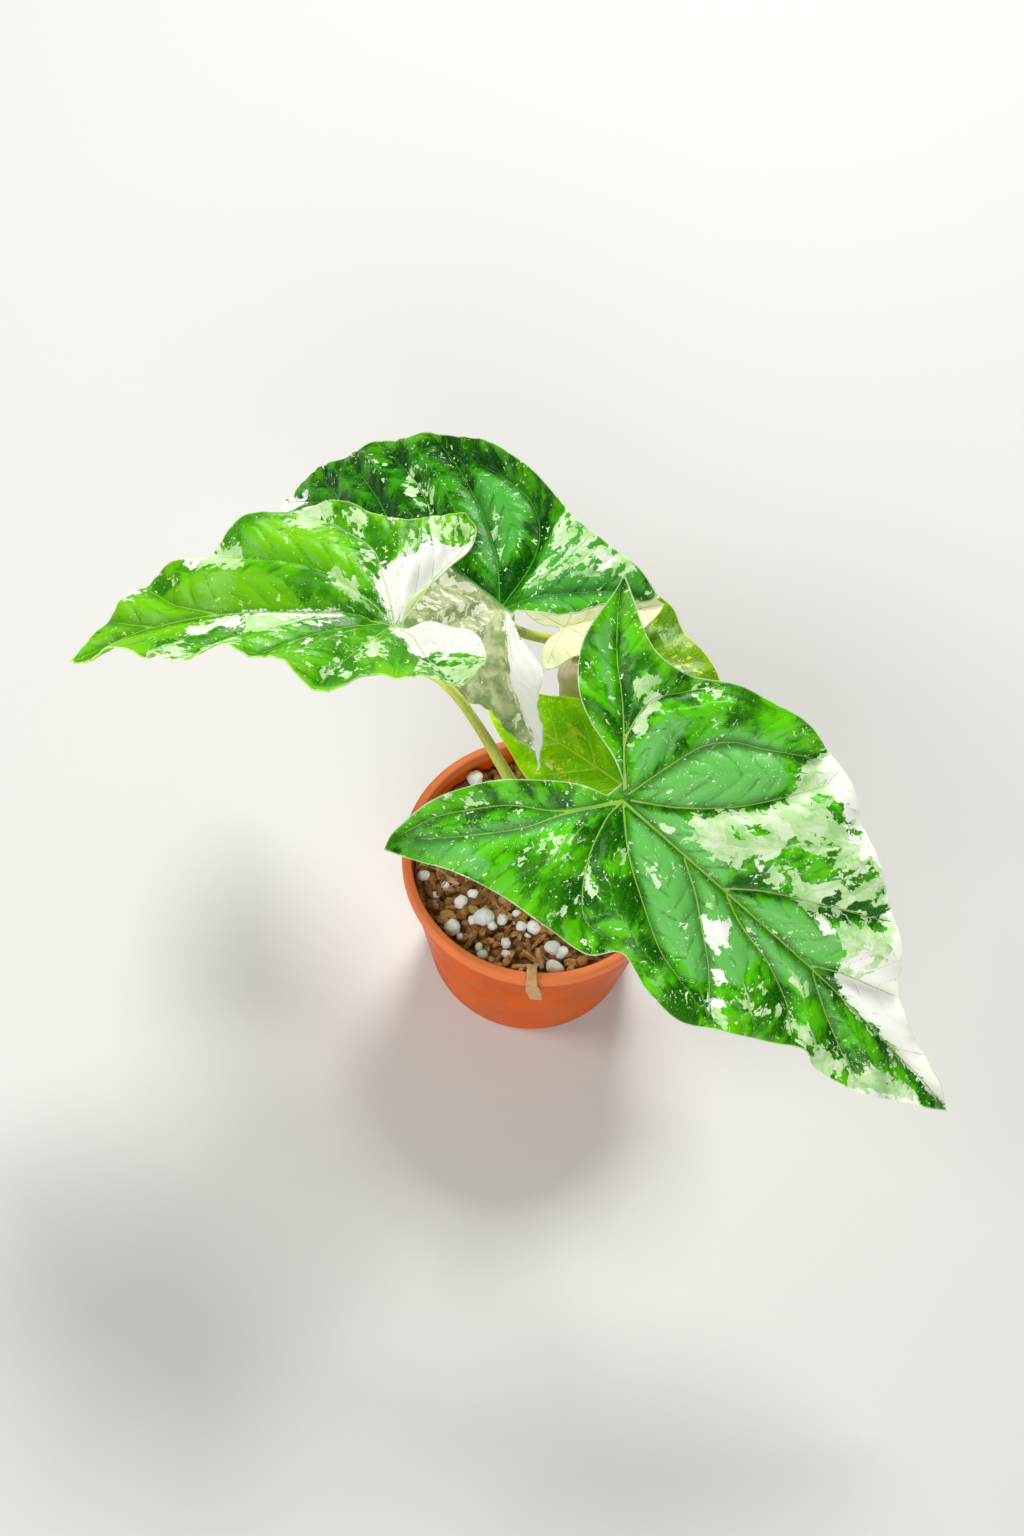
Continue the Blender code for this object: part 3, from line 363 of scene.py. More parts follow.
BACK_LEAF = Leaf(
    "blade_back", (-22, 45, 165), 140, -4, 0, 12, -78, -0.006, BACK_STROKES, BACK_RIBS,
    curl_right=0.004, unfold_left=62, bulge=3.2, pads=0.75, ripple=1.2,
    white=[
        [(-2, -2), (-8, -2), (-13, -5), (-18, -9), (-27, -12), (-36, -18), (-46, -24.5), (-58, -28),
         (-60, -38), (-30, -38), (-8, -32), (0, -18)],
        [(0.6, 56), (0.8, 80), (0.6, 104), (-2, 108), (-12, 112), (-14, 96), (-10, 80), (-6, 60)],
        [(-2, 132), (3, 128), (4, 116), (0, 112), (-8, 118)], [(24, -12), (36, -20), (36, -16), (28, -10)],
    ],
    mint=[
        [(14, 52), (17, 64), (20, 68), (25, 68), (25, 62), (21, 57), (18, 54)],
        [(24, -8), (30, -2), (40, 0), (42, -14), (36, -18), (28, -12)],
        [(-20, 42), (-15, 36), (-14, 26), (-22, 33)], [(-6, 34), (-2, 26), (-2, 14), (-6, 22)],
        [(-28, 20), (-20, 14), (-26, 8), (-34, 12)], [(-30, 62), (-24, 70), (-34, 72)],
    ],
    speckled=[
        ([(6, 1), (20, 2), (30, 6), (42, 10), (42, -10), (40, -30), (34, -26), (28, -18), (20, -8),
          (10, -3)], 0.5),
        ([(12, 48), (16, 66), (26, 74), (28, 62), (20, 52)], -0.3),
        ([(10, 12), (20, 28), (30, 30), (24, 16)], -0.8),
        ([(-4, 2), (-30, 6), (-48, 14), (-46, 46), (-20, 44), (-4, 30)], -0.5),
        ([(-13, -3), (-28, -6), (-44, -15), (-54, -26), (-44, -22), (-30, -13), (-20, -8)], -0.2),
        ([(-2, 112), (-12, 112), (-22, 92), (-16, 70), (-8, 60), (-10, 90)], 0.2),
        ([(22, 80), (30, 84), (26, 98), (18, 92)], -1.2),
    ],
    milky=[[(3, -4), (10, -16), (22, -26), (36, -38), (40, -20), (40, 8), (20, 2)],
           [(6, 12), (14, 24), (24, 40), (36, 44), (38, 26), (24, 12)]],
    dull=[[(0, -60), (-80, -60), (-80, 66), (-14, 66), (0, 56)]])

CREAM_LEAF = Leaf(
    "blade_cream", (0, 61, 132), 24, 3, -6, 12, 12, -0.006,
    scaled(SMALL_STROKES, 0.62, 0.62), scaled(SMALL_RIBS, 0.62, 0.62), bulge=0.8, ripple=0.8,
    white=[[(-30, -20), (30, -20), (30, 60), (-30, 60)]],
    mint=[[(-10, 4), (-4, 8), (-3, 22), (-8, 20)], [(4, 10), (9, 12), (8, 24), (5, 20)]])

RIGHT_LEAF = Leaf(
    "blade_right", (30, 60, 121), -55, 2, 8, 12, 8, -0.008,
    scaled(SMALL_STROKES, 0.77, 0.95), scaled(SMALL_RIBS, 0.77, 0.95), bulge=1.4, ripple=1.0,
    speckled=[([(-12, 30), (-16, 10), (-4, 6), (-3, 40)], -0.9), ([(2, 44), (8, 30), (14, 30), (8, 46)], -1.0)])

LOW_LEAF = Leaf(
    "blade_low", (29, 17, 98), 148, 1, 14, 6, -14, -0.003,
    scaled(SMALL_STROKES, 0.78, 1.08), scaled(SMALL_RIBS, 0.78, 1.08), bulge=1.4, ripple=1.0,
    speckled=[([(1, 10), (8, 20), (10, 36), (4, 46)], -1.0),
              ([(-14, 16), (-4, 14), (-4, 40), (-10, 40)], -1.1)])

# Each petiole's leaf, radii and route. One with a seat_turn stands on the stem's top instead of in the mix.
PETIOLES = [
    (FRONT_LEAF, dict(name="petiole_front", foot_radius=2.7, top_radius=1.7,
                      route=[(12, -7, 50), (12, -7, 68), (10, -13, 95), (14, -22, 135)])),
    (LEFT_LEAF, dict(name="petiole_left", foot_radius=2.7, top_radius=1.7,
                     route=[(2, 1, 50), (2, 1, 68), (-3, 4, 84), (-14, 11, 107), (-35, 18, 148)])),
    (BACK_LEAF, dict(name="petiole_back", foot_radius=2.2, top_radius=1.6, joint_shift=2.9, seat_turn=190,
                     route=[(-5, 66, 116), (-14.5, 61, 126), (-19.5, 56, 138), (-19.5, 50, 151)])),
    (CREAM_LEAF, dict(name="petiole_cream", foot_radius=1.8, top_radius=1.3, seat_turn=80,
                      route=[(4.5, 71, 120)])),
    (RIGHT_LEAF, dict(name="petiole_right", foot_radius=1.8, top_radius=1.4, seat_turn=-40, approach=4.0,
                      route=[(18, 63, 112)])),
    (LOW_LEAF, dict(name="petiole_low", foot_radius=2.2, top_radius=1.5, joint_shift=1.8,
                    route=[(21, 4, 50), (21, 4, 68), (24, 8, 80)])),
]

# The stem and the papery sheath round its top, which the petioles with a seat_turn rise out of
STEM_ROUTE = [(10, 18, 50), (10, 18, 60), (10, 19, 69), (9.5, 28, 77), (8, 46, 84), (6.5, 60, 91),
              (6, 66, 97), (6, 68.5, 103)]
STEM_RADII = [4.6, 4.6, 4.6, 4.6, 5.0, 5.6, 6.0]
STEM_SEAT_RADIUS = 3.4
SEAT_RISE = 5.0
JOINT_APPROACH = 6.0
JOINT_CLEARANCE = 0.2
SHEATH_RADIUS = 6.2
SHEATH_DROP = 11.0
SHEATH_RISE = 3.4


class LeafLooks(bpy.types.PropertyGroup):
    """Colours and sizes of the blades."""
    # Deep green is also painted shade by the ribs and in the small veins' grooves, and light green painted
    # light on the panels between ribs.
    deep_green: FloatVectorProperty(name="Deep green", description="Darkest tissue of a blade", subtype="COLOR",
                                    size=4, default=(0.0015, 0.078, 0.0003, 1), min=0, max=1)
    light_green: FloatVectorProperty(name="Light green", description="Lighter tissue of a blade",
                                     subtype="COLOR", size=4, default=(0.092, 0.55, 0.001, 1), min=0, max=1)
    # Milky green: half-pale tissue with a painted sheen in it.
    milky_green: FloatVectorProperty(name="Milky green", description="Half-pale tissue", subtype="COLOR",
                                     size=4, default=(0.155, 0.50, 0.125, 1), min=0, max=1)
    edge_green: FloatVectorProperty(name="Edge green", description="Yellowish tissue along the margin",
                                    subtype="COLOR", size=4, default=(0.12, 0.52, 0.001, 1), min=0, max=1)
    mint: FloatVectorProperty(name="Mint", description="Pale green variegation", subtype="COLOR",
                              size=4, default=(0.52, 0.75, 0.37, 1), min=0, max=1)
    white: FloatVectorProperty(name="White", description="White variegation", subtype="COLOR",
                               size=4, default=(0.85, 0.87, 0.81, 1), min=0, max=1)
    vein: FloatVectorProperty(name="Vein", description="Lines of the main ribs", subtype="COLOR",
                              size=4, default=(0.36, 0.64, 0.08, 1), min=0, max=1)
    thickness: FloatProperty(name="Thickness", description="Thickness of a blade", unit="LENGTH",
                             default=0.0005, min=0.0002, max=0.001)
    spacing: FloatProperty(name="Spacing", description="Distance between a blade's mesh points",
                           unit="LENGTH", default=0.0009, min=0.0005, max=0.004)


class PotLooks(bpy.types.PropertyGroup):
    """Colour and smoothness of the pot."""
    terracotta: FloatVectorProperty(name="Terracotta", description="Colour of the pot's plastic",
                                    subtype="COLOR", size=4, default=(0.55, 0.088, 0.002, 1), min=0, max=1)
    sides: IntProperty(name="Sides", description="Steps round the pot", default=160, min=32, max=256)


class MixLooks(bpy.types.PropertyGroup):
    """Colours and amounts of the potting mix."""
    bark: FloatVectorProperty(name="Bark", description="Colour of the bark chips", subtype="COLOR",
                              size=4, default=(0.56, 0.25, 0.065, 1), min=0, max=1)
    perlite: FloatVectorProperty(name="Perlite", description="Colour of the perlite", subtype="COLOR",
                                 size=4, default=(0.97, 0.96, 0.93, 1), min=0, max=1)
    chips: IntProperty(name="Chips", description="Number of bark chips", default=520, min=20, max=1200)
    grains: IntProperty(name="Grains", description="Number of perlite grains", default=40, min=5, max=300)


class StalkLooks(bpy.types.PropertyGroup):
    """Colours of the petioles, the stem and its sheath."""
    petiole: FloatVectorProperty(name="Petiole", description="Green of the petioles", subtype="COLOR",
                                 size=4, default=(0.46, 0.56, 0.05, 1), min=0, max=1)
    petiole_pale: FloatVectorProperty(name="Pale petiole", description="Paler stretches of the petioles",
                                      subtype="COLOR", size=4, default=(0.70, 0.72, 0.16, 1), min=0, max=1)
    stem: FloatVectorProperty(name="Stem", description="Tan of the stem", subtype="COLOR",
                              size=4, default=(0.88, 0.73, 0.49, 1), min=0, max=1)
    stem_pale: FloatVectorProperty(name="Pale stem", description="Paler stretches of the stem",
                                   subtype="COLOR", size=4, default=(0.98, 0.90, 0.70, 1), min=0, max=1)
    sheath: FloatVectorProperty(name="Sheath", description="Colour of the papery sheath", subtype="COLOR",
                                size=4, default=(0.88, 0.70, 0.46, 1), min=0, max=1)
    sheath_pale: FloatVectorProperty(name="Pale sheath", description="Paler stretches of the sheath",
                                     subtype="COLOR", size=4, default=(0.98, 0.90, 0.72, 1), min=0, max=1)


class StageLooks(bpy.types.PropertyGroup):
    """Floor and light."""
    floor: FloatVectorProperty(name="Floor", description="Colour of the floor", subtype="COLOR",
                               size=4, default=(0.66, 0.655, 0.64, 1), min=0, max=1)
    key_power: FloatProperty(name="Key light", description="Power of the main soft light", subtype="POWER",
                             default=21.5, min=0.0, max=500.0)
    room_light: FloatProperty(name="Room light", description="Strength of the even light from all sides",
                              default=0.13, min=0.0, max=5.0)


class PlantSettings(bpy.types.PropertyGroup):
    """All settings of the plant."""
    leaf: PointerProperty(type=LeafLooks)
    pot: PointerProperty(type=PotLooks)
    mix: PointerProperty(type=MixLooks)
    stalk: PointerProperty(type=StalkLooks)
    stage: PointerProperty(type=StageLooks)


class Nodes:
    """Adds nodes to one tree and wires them as they are made."""

    def __init__(self, tree):
        self.tree = tree

    def wire(self, socket, value):
        """Links a socket to another one, or sets it to a plain value."""
        if isinstance(value, bpy.types.NodeSocket):
            self.tree.links.new(value, socket)
        else:
            socket.default_value = value

    def put(self, kind, sockets=None, **settings):
        """Adds a node with its settings, then fills its input sockets."""
        node = self.tree.nodes.new(kind)
        for name, value in settings.items():
            setattr(node, name, value)
        for name, value in (sockets or {}).items():
            self.wire(node.inputs[name], value)
        return node

    def math(self, operation, first, second=0.0):
        return self.put("ShaderNodeMath", {0: first, 1: second}, operation=operation).outputs[0]

    def mix(self, factor, first, second):
        """A colour between two others. The sockets 6 and 7 and the output 2 are the colour ones."""
        return self.put("ShaderNodeMix", {0: factor, 6: first, 7: second}, data_type="RGBA").outputs[2]

    def step(self, value, low, high, out_low=0.0, out_high=1.0):
        """A smooth step from out_low to out_high as value goes from low to high."""
        node = self.put("ShaderNodeMapRange", {"Value": value, "From Min": low, "From Max": high,
                                               "To Min": out_low, "To Max": out_high},
                        interpolation_type="SMOOTHSTEP")
        return node.outputs["Result"]

    def stretch(self, vector, scale, offset=(0.0, 0.0, 0.0)):
        node = self.put("ShaderNodeMapping", {"Vector": vector, "Scale": scale, "Location": offset})
        return node.outputs["Vector"]

    def noise(self, vector, scale=1.0, detail=3.0, roughness=0.55):
        node = self.put("ShaderNodeTexNoise", {"Vector": vector, "Scale": scale, "Detail": detail,
                                               "Roughness": roughness})
        return node.outputs["Fac"]

    def attribute(self, name, output="Fac"):
        return self.put("ShaderNodeAttribute", attribute_name=name).outputs[output]

    def object_place(self):
        """The object's own coordinates, in metres."""
        return self.put("ShaderNodeTexCoord").outputs["Object"]

    def centred(self, value, size):
        """A noise of 0 to 1 as a shift to both sides of zero."""
        return self.math("MULTIPLY", self.math("SUBTRACT", value, 0.5), size)

    def blotches(self, vector):
        """A random value of 0 to 1 for each uneven cell."""
        cells = self.put("ShaderNodeTexVoronoi", {"Vector": vector, "Scale": 1.0})
        return self.put("ShaderNodeSeparateColor", {"Color": cells.outputs["Color"]}).outputs["Blue"]

    def flecks(self, vector, share, smallest, spread):
        """Small scattered spots of uneven size, in the given share of the cells."""
        cells = self.put("ShaderNodeTexVoronoi", {"Vector": vector, "Scale": 1.0})
        chance = self.put("ShaderNodeSeparateColor", {"Color": cells.outputs["Color"]}).outputs
        size = self.math("ADD", self.math("MULTIPLY", chance["Green"], spread), smallest)
        return self.math("MULTIPLY", self.math("LESS_THAN", cells.outputs["Distance"], size),
                         self.math("LESS_THAN", chance["Red"], share))


def new_group(name, inputs, outputs):
    """An empty shader node group with named sockets, and its helper, input and output nodes."""
    tree = bpy.data.node_groups.new(name, "ShaderNodeTree")
    for socket, kind, default in inputs:
        made = tree.interface.new_socket(socket, in_out="INPUT", socket_type=kind)
        if default is not None:
            made.default_value = default
    for socket, kind in outputs:
        tree.interface.new_socket(socket, in_out="OUTPUT", socket_type=kind)
    nodes = Nodes(tree)
    return tree, nodes, nodes.put("NodeGroupInput").outputs, nodes.put("NodeGroupOutput").inputs


COLOUR, NUMBER, VECTOR = "NodeSocketColor", "NodeSocketFloat", "NodeSocketVector"

# The variegation group's inputs. Its coordinates are millimetres of the flat blade: in Place across and along
# it, in Flow along the small veins, across them, and by sector.
LEAF_VECTORS = ("Flow", "Place")
LEAF_LEVELS = (("White", -50.0), ("Mint", -50.0), ("Milky", 0.0), ("Vein", 9.0), ("Side Vein", 2.0),
               ("Rib Distance", 9.0), ("Margin", 9.0))
LEAF_COLOURS = ("Deep Green", "Light Green", "Milky Green", "Edge Green", "Mint Colour", "White Colour",
                "Vein Colour", "Fleck Colour")


def pale_masks(n, given, warped):
    """Where the tissue is white and where mint, with edges made ragged by noise along the veins."""
    broad = n.centred(n.noise(n.stretch(given["Flow"], (0.11, 0.22, 1.0)), detail=2.0, roughness=0.5), 7.0)
    ragged = n.centred(n.noise(n.stretch(warped, (0.30, 0.62, 1.0)), detail=1.5, roughness=0.5), 4.0)
    blotch = n.centred(n.blotches(n.stretch(warped, (0.26, 0.46, 1.0))), 3.4)
    edge_noise = n.math("ADD", broad, n.math("ADD", ragged, blotch))
    mint = n.step(n.math("ADD", given["Mint"], edge_noise), -0.07, 0.07)
    other = n.centred(n.blotches(n.stretch(warped, (0.24, 0.40, 1.0), (37.0, 11.0, 5.0))), 3.2)
    shifted = n.math("ADD", n.math("ADD", broad, other), ragged)
    white = n.step(n.math("ADD", given["White"], shifted), -0.07, 0.07)
    return white, mint


def green_tissue_and_painted_light(n, given, warped, cells):
    """Green tissue: deep and light in streaks, milky in places with a painted sheen, yellowish by the margin,
    lighter between the ribs as painted light, dark by the ribs and in the small veins' grooves as painted
    shade.
    """
    place = given["Place"]
    cloudy = n.noise(place, scale=0.06, detail=3.0, roughness=0.5)
    streaked = n.noise(n.stretch(warped, (0.07, 0.19, 1.0), (9.0, 2.0, 4.0)), detail=4.0, roughness=0.6)
    tissue = n.math("ADD", n.math("MULTIPLY", cloudy, 0.5), n.math("MULTIPLY", streaked, 0.5))
    lighter = n.math("ADD", tissue, n.math("MULTIPLY", given["Milky"], 0.10))
    green = n.mix(n.step(lighter, 0.455, 0.575), given["Deep Green"], given["Light Green"])
    # Painted light: lighter green on the panels away from the ribs.
    green = n.mix(n.step(given["Rib Distance"], 3.0, 10.0, 0.0, 0.22), green, given["Light Green"])
    # Milky patches: half-pale tissue with a painted sheen in it.
    mottle = n.centred(n.noise(n.stretch(warped, (0.10, 0.22, 1.0)), detail=5.0, roughness=0.7), 1.5)
    milky = n.step(n.math("ADD", given["Milky"], mottle), 0.42, 0.80, 0.0, 0.85)
    green = n.mix(milky, green, given["Milky Green"])
    green = n.mix(n.step(cells, 0.38, 0.68, 0.0, 0.24), green, given["Light Green"])
    rim = n.math("MULTIPLY", n.step(given["Margin"], 0.5, 8.0, 0.75, 0.0), n.step(tissue, 0.42, 0.54))
    green = n.mix(rim, green, given["Edge Green"])
    # Painted shade: deep green in the valleys by the ribs.
    green = n.mix(n.step(given["Rib Distance"], 0.2, 3.4, 0.58, 0.0), green, given["Deep Green"])
    faint = n.noise(place, scale=0.13, detail=2.0)
    # Painted shade: deep green in the small veins' grooves, where the faint noise lets it.
    painted_groove_shade = n.math("MULTIPLY", n.step(given["Side Vein"], 0.0, 0.9, 0.50, 0.0), n.step(faint, 0.40, 0.62))
    return n.mix(painted_groove_shade, green, given["Deep Green"])


def fleck_mask(n, given, warped):
    """Pale dashes, dots and specks along the veins, thick in some places and rare in others."""
    patchy = n.step(n.noise(given["Place"], scale=0.05, detail=1.0), 0.40, 0.62, 0.30, 2.0)
    share = n.math("MULTIPLY", given["Flecks"], patchy)
    dash = n.flecks(n.stretch(warped, (0.22, 0.58, 1.0)), share, 0.05, 0.24)
    dot = n.flecks(n.stretch(warped, (0.55, 1.0, 1.0), (7.0, 3.0, 2.0)), share, 0.06, 0.22)
    speck = n.flecks(n.stretch(warped, (1.1, 1.7, 1.0), (3.0, 9.0, 4.0)), share, 0.08, 0.24)
    return n.math("MAXIMUM", n.math("MAXIMUM", dash, dot), speck)


def pale_tissues(n, given, warped, cells):
    """White tissue with mint clouds, and mint tissue with white and milky clouds."""
    clouds = n.noise(n.stretch(warped, (0.13, 0.24, 1.0), (5.0, 5.0, 5.0)), detail=3.0, roughness=0.55)
    white = n.mix(n.step(clouds, 0.56, 0.70, 0.0, 0.22), given["White Colour"], given["Mint Colour"])
    mint = n.mix(n.step(clouds, 0.52, 0.56, 0.0, 0.45), given["Mint Colour"], given["White Colour"])
    mint = n.mix(n.step(clouds, 0.44, 0.40, 0.0, 0.35), mint, given["Milky Green"])
    mint = n.mix(n.step(cells, 0.35, 0.75, 0.0, 0.14), mint, given["Milky Green"])
    return white, mint


def variegation_group():
    """The colour, pale shares and relief of a blade, from what its mesh says of each point."""
    if "variegation" in bpy.data.node_groups:
        return bpy.data.node_groups["variegation"]
    inputs = [(name, VECTOR, None) for name in LEAF_VECTORS]
    inputs += [(name, NUMBER, default) for name, default in LEAF_LEVELS] + [("Flecks", NUMBER, 0.1)]
    inputs += [(name, COLOUR, None) for name in LEAF_COLOURS]
    tree, n, given, result = new_group("variegation", inputs, [
        ("Colour", COLOUR), ("Pale", NUMBER), ("White", NUMBER), ("Height", NUMBER)])
    warp = n.put("ShaderNodeTexNoise", {"Vector": given["Place"], "Scale": 0.55, "Detail": 3.0})
    warped = n.put("ShaderNodeVectorMath", {0: warp.outputs["Color"], 1: (4.0, 4.0, 0.0), 2: given["Flow"]},
                   operation="MULTIPLY_ADD").outputs["Vector"]
    cells = n.noise(given["Place"], scale=1.1, detail=3.0, roughness=0.7)
    white, mint = pale_masks(n, given, warped)
    fleck = fleck_mask(n, given, warped)
    white_tissue, mint_tissue = pale_tissues(n, given, warped, cells)
    painted = n.mix(fleck, green_tissue_and_painted_light(n, given, warped, cells), given["Fleck Colour"])
    painted = n.mix(mint, painted, mint_tissue)
    painted = n.mix(white, painted, white_tissue)
    small_line = n.step(given["Side Vein"], 0.05, 0.30, 1.0, 0.0)
    painted = n.mix(n.math("MULTIPLY", small_line, 0.18), painted, given["Vein Colour"])
    line = n.step(given["Vein"], 0.5, 1.2, 1.0, 0.0)
    painted = n.mix(n.math("MULTIPLY", line, 0.75), painted, given["Vein Colour"])
    painted = n.mix(n.step(given["Margin"], 0.06, 0.48, 0.68, 0.0), painted, given["Fleck Colour"])
    n.wire(result["Colour"], painted)
    n.wire(result["Pale"], n.math("MAXIMUM", n.math("MAXIMUM", white, mint), fleck))
    n.wire(result["White"], white)
    height = n.math("ADD", n.math("MULTIPLY", small_line, -0.5), n.math("MULTIPLY", cells, 0.30))
    n.wire(result["Height"], n.math("ADD", height, n.math("MULTIPLY", line, -0.35)))
    return tree


def grain_group():
    """Uneven tone and a fine raised grain for bark, perlite and plastic."""
    if "grain" in bpy.data.node_groups:
        return bpy.data.node_groups["grain"]
    tree, n, given, result = new_group("grain", [
        ("Vector", VECTOR, None), ("Scale", NUMBER, 200.0), ("Dark", COLOUR, None), ("Light", COLOUR, None),
    ], [("Colour", COLOUR), ("Height", NUMBER)])
    vector = n.put("ShaderNodeVectorMath", {0: given["Vector"], "Scale": given["Scale"]}, operation="SCALE")
    coarse = n.noise(vector.outputs["Vector"], detail=4.0)
    fine = n.noise(vector.outputs["Vector"], scale=5.0, detail=5.0, roughness=0.65)
    tone = n.math("ADD", n.math("MULTIPLY", coarse, 0.65), n.math("MULTIPLY", fine, 0.35))
    n.wire(result["Colour"], n.mix(n.step(tone, 0.32, 0.68), given["Dark"], given["Light"]))
    n.wire(result["Height"], fine)
    return tree


def new_material(name, roughness, **shader_values):
    """A Principled material, its node helper and its shader."""
    material = bpy.data.materials.new(name)
    material.use_nodes = True
    n = Nodes(material.node_tree)
    shader = material.node_tree.nodes["Principled BSDF"]
    shader.inputs["Roughness"].default_value = roughness
    for socket, value in shader_values.items():
        shader.inputs[socket.replace("_", " ")].default_value = value
    return material, n, shader


def bump(n, shader, height, distance):
    """Relief from a height, with the depth in metres that a height of 1 stands for."""
    node = n.put("ShaderNodeBump", {"Height": height, "Distance": distance, "Strength": 1.0})
    n.wire(shader.inputs["Normal"], node.outputs["Normal"])


def shaded(colour, factor):
    """A colour made darker or lighter."""
    return tuple(min(1.0, value * factor) for value in colour[:3]) + (1.0,)


def blended(first, second, share):
    """A colour between two others, from the first at 0 to the second at 1."""
    return tuple(a + (b - a) * share for a, b in zip(first[:3], second[:3])) + (1.0,)


@dataclass
class Tissue:
    """The colours of one blade's tissue and the gloss of its upper face."""
    deep: tuple
    light: tuple
    milky: tuple
    edge: tuple
    mint: tuple
    white: tuple
    vein: tuple
    fleck: tuple
    gloss: float = 0.20


# The folded half of the back leaf, the share of flecks under a blade, and the depths of fine relief in metres
OLIVE_DARK = (0.30, 0.40, 0.15, 1.0)
OLIVE_PALE = (0.68, 0.74, 0.44, 1.0)
OLIVE_PATCH = (1.0, 0.99, 0.80, 1.0)
UNDER_FLECKS = 0.03
UPPER_RELIEF = 0.0004
UNDER_RELIEF = 0.0005


def leaf_group(n, tissue, flecks):
    """The variegation group, fed by the blade's attributes and its tissue's colours.

    An attribute has its socket's name in small letters, with a line for a space.
    """
    group = n.put("ShaderNodeGroup", {"Flecks": flecks}, node_tree=variegation_group())
    for name in LEAF_VECTORS:
        n.wire(group.inputs[name], n.attribute(name.lower(), "Vector"))
    for name, _ in LEAF_LEVELS:
        n.wire(group.inputs[name], n.attribute(name.lower().replace(" ", "_")))
    colours = (tissue.deep, tissue.light, tissue.milky, tissue.edge, tissue.mint, tissue.white, tissue.vein,
               tissue.fleck)
    for name, colour in zip(LEAF_COLOURS, colours):
        n.wire(group.inputs[name], colour)
    return group


def upper_material(name, tissue, flecks):
    """The satin upper face of a blade. The part that hangs folded under is a duller, mottled olive."""
    material, n, shader = new_material(name, roughness=0.36, Specular_IOR_Level=tissue.gloss,
                                       Subsurface_Weight=0.3, Subsurface_Radius=(1.0, 1.0, 0.4),
                                       Subsurface_Scale=0.001)
    group = leaf_group(n, tissue, flecks)
    dull = n.attribute("dull")
    smears = n.noise(n.attribute("place", "Vector"), scale=0.12, detail=4.0)
    olive = n.mix(n.step(smears, 0.40, 0.60), OLIVE_DARK, OLIVE_PALE)
    olive = n.mix(group.outputs["Pale"], olive, OLIVE_PATCH)
    # Painted light: on the folded part the white is a lighter copy, against the shade it hangs in.
    olive = n.mix(group.outputs["White"], olive, shaded(tissue.white, 1.12))
    n.wire(shader.inputs["Base Color"], n.mix(n.math("MULTIPLY", dull, 0.92), group.outputs["Colour"], olive))
    gloss = n.math("ADD", n.math("MULTIPLY", group.outputs["Pale"], 0.08), n.math("MULTIPLY", dull, 0.2))
    n.wire(shader.inputs["Roughness"], n.math("ADD", gloss, n.step(smears, 0.3, 0.7, 0.24, 0.38)))
    bump(n, shader, group.outputs["Height"], UPPER_RELIEF)
    return material


def under_material(name, tissue):
    """The duller, paler lower face of a blade."""
    material, n, shader = new_material(name, roughness=0.55)
    paler = replace(tissue, deep=blended(tissue.deep, tissue.milky, 0.6),
                    light=blended(tissue.light, tissue.milky, 0.6), fleck=tissue.mint)
    group = leaf_group(n, paler, UNDER_FLECKS)
    n.wire(shader.inputs["Base Color"], group.outputs["Colour"])
    bump(n, shader, group.outputs["Height"], UNDER_RELIEF)
    return material


FRESH_BARK = (0.62, 0.40, 0.20, 1.0)


def grained_material(name, dark, light, scale, roughness, bump_depth, attribute=None):
    """A material with the grain group's tone and relief. An attribute gives each chip a tone of its own."""
    material, n, shader = new_material(name, roughness)
    place = n.object_place()
    group = n.put("ShaderNodeGroup", {"Vector": place, "Scale": scale, "Dark": dark, "Light": light},
                  node_tree=grain_group())
    colour = group.outputs["Colour"]
    if attribute:
        tone = n.attribute(attribute)
        colour = n.mix(n.step(tone, 0.0, 1.0, 0.75, 0.0), colour, shaded(dark, 0.45))
        colour = n.mix(n.step(tone, 0.7, 1.0, 0.0, 0.6), colour, FRESH_BARK)
    n.wire(shader.inputs["Base Color"], colour)
    bump(n, shader, group.outputs["Height"], bump_depth)
    return material


# Steps between two points of a stroke, and the step along ribs and ridges in mm
STROKE_STEPS = 24
LINE_STEP = 2.0

# A blade's lattice: how far it keeps from the outline and from ribs, in steps, the parts that it is thinned in
# so that the table of distances stays small, and what the triangulation keeps and merges
OUTLINE_CLEARANCE = 0.6
RIB_CLEARANCE = 0.55
LATTICE_PARTS = 12
KEEP_INSIDE = 1
MERGE_DISTANCE = 0.02

FAR = 1e9
NO_PATCH = -60.0


def smooth_stroke(points, step):
    """Points at an even step on a smooth curve through the given points."""
    points = [np.array(point, float) for point in points]
    ends = [2 * points[0] - points[1]] + points + [2 * points[-1] - points[-2]]
    dense = []
    for p0, p1, p2, p3 in zip(ends, ends[1:], ends[2:], ends[3:]):
        for t in np.linspace(0, 1, STROKE_STEPS, endpoint=False):
            dense.append(0.5 * (2 * p1 + (p2 - p0) * t + (2 * p0 - 5 * p1 + 4 * p2 - p3) * t * t
                                + (3 * p1 - p0 - 3 * p2 + p3) * t ** 3))
    dense.append(points[-1])
    dense = np.array(dense)
    lengths = np.concatenate([[0.0], np.cumsum(np.linalg.norm(np.diff(dense, axis=0), axis=1))])
    count = max(2, int(round(lengths[-1] / step)) + 1)
    wanted = np.linspace(0, lengths[-1], count)
    return np.stack([np.interp(wanted, lengths, dense[:, axis]) for axis in range(dense.shape[1])], axis=1)


def blade_outline(leaf, step):
    """The closed outline, with sharp corners where two strokes meet."""
    rows = []
    for stroke in leaf.strokes:
        rows.append(smooth_stroke(stroke, step)[:-1])
    rows.append(np.array([leaf.strokes[-1][-1]], float))
    return np.concatenate(rows)


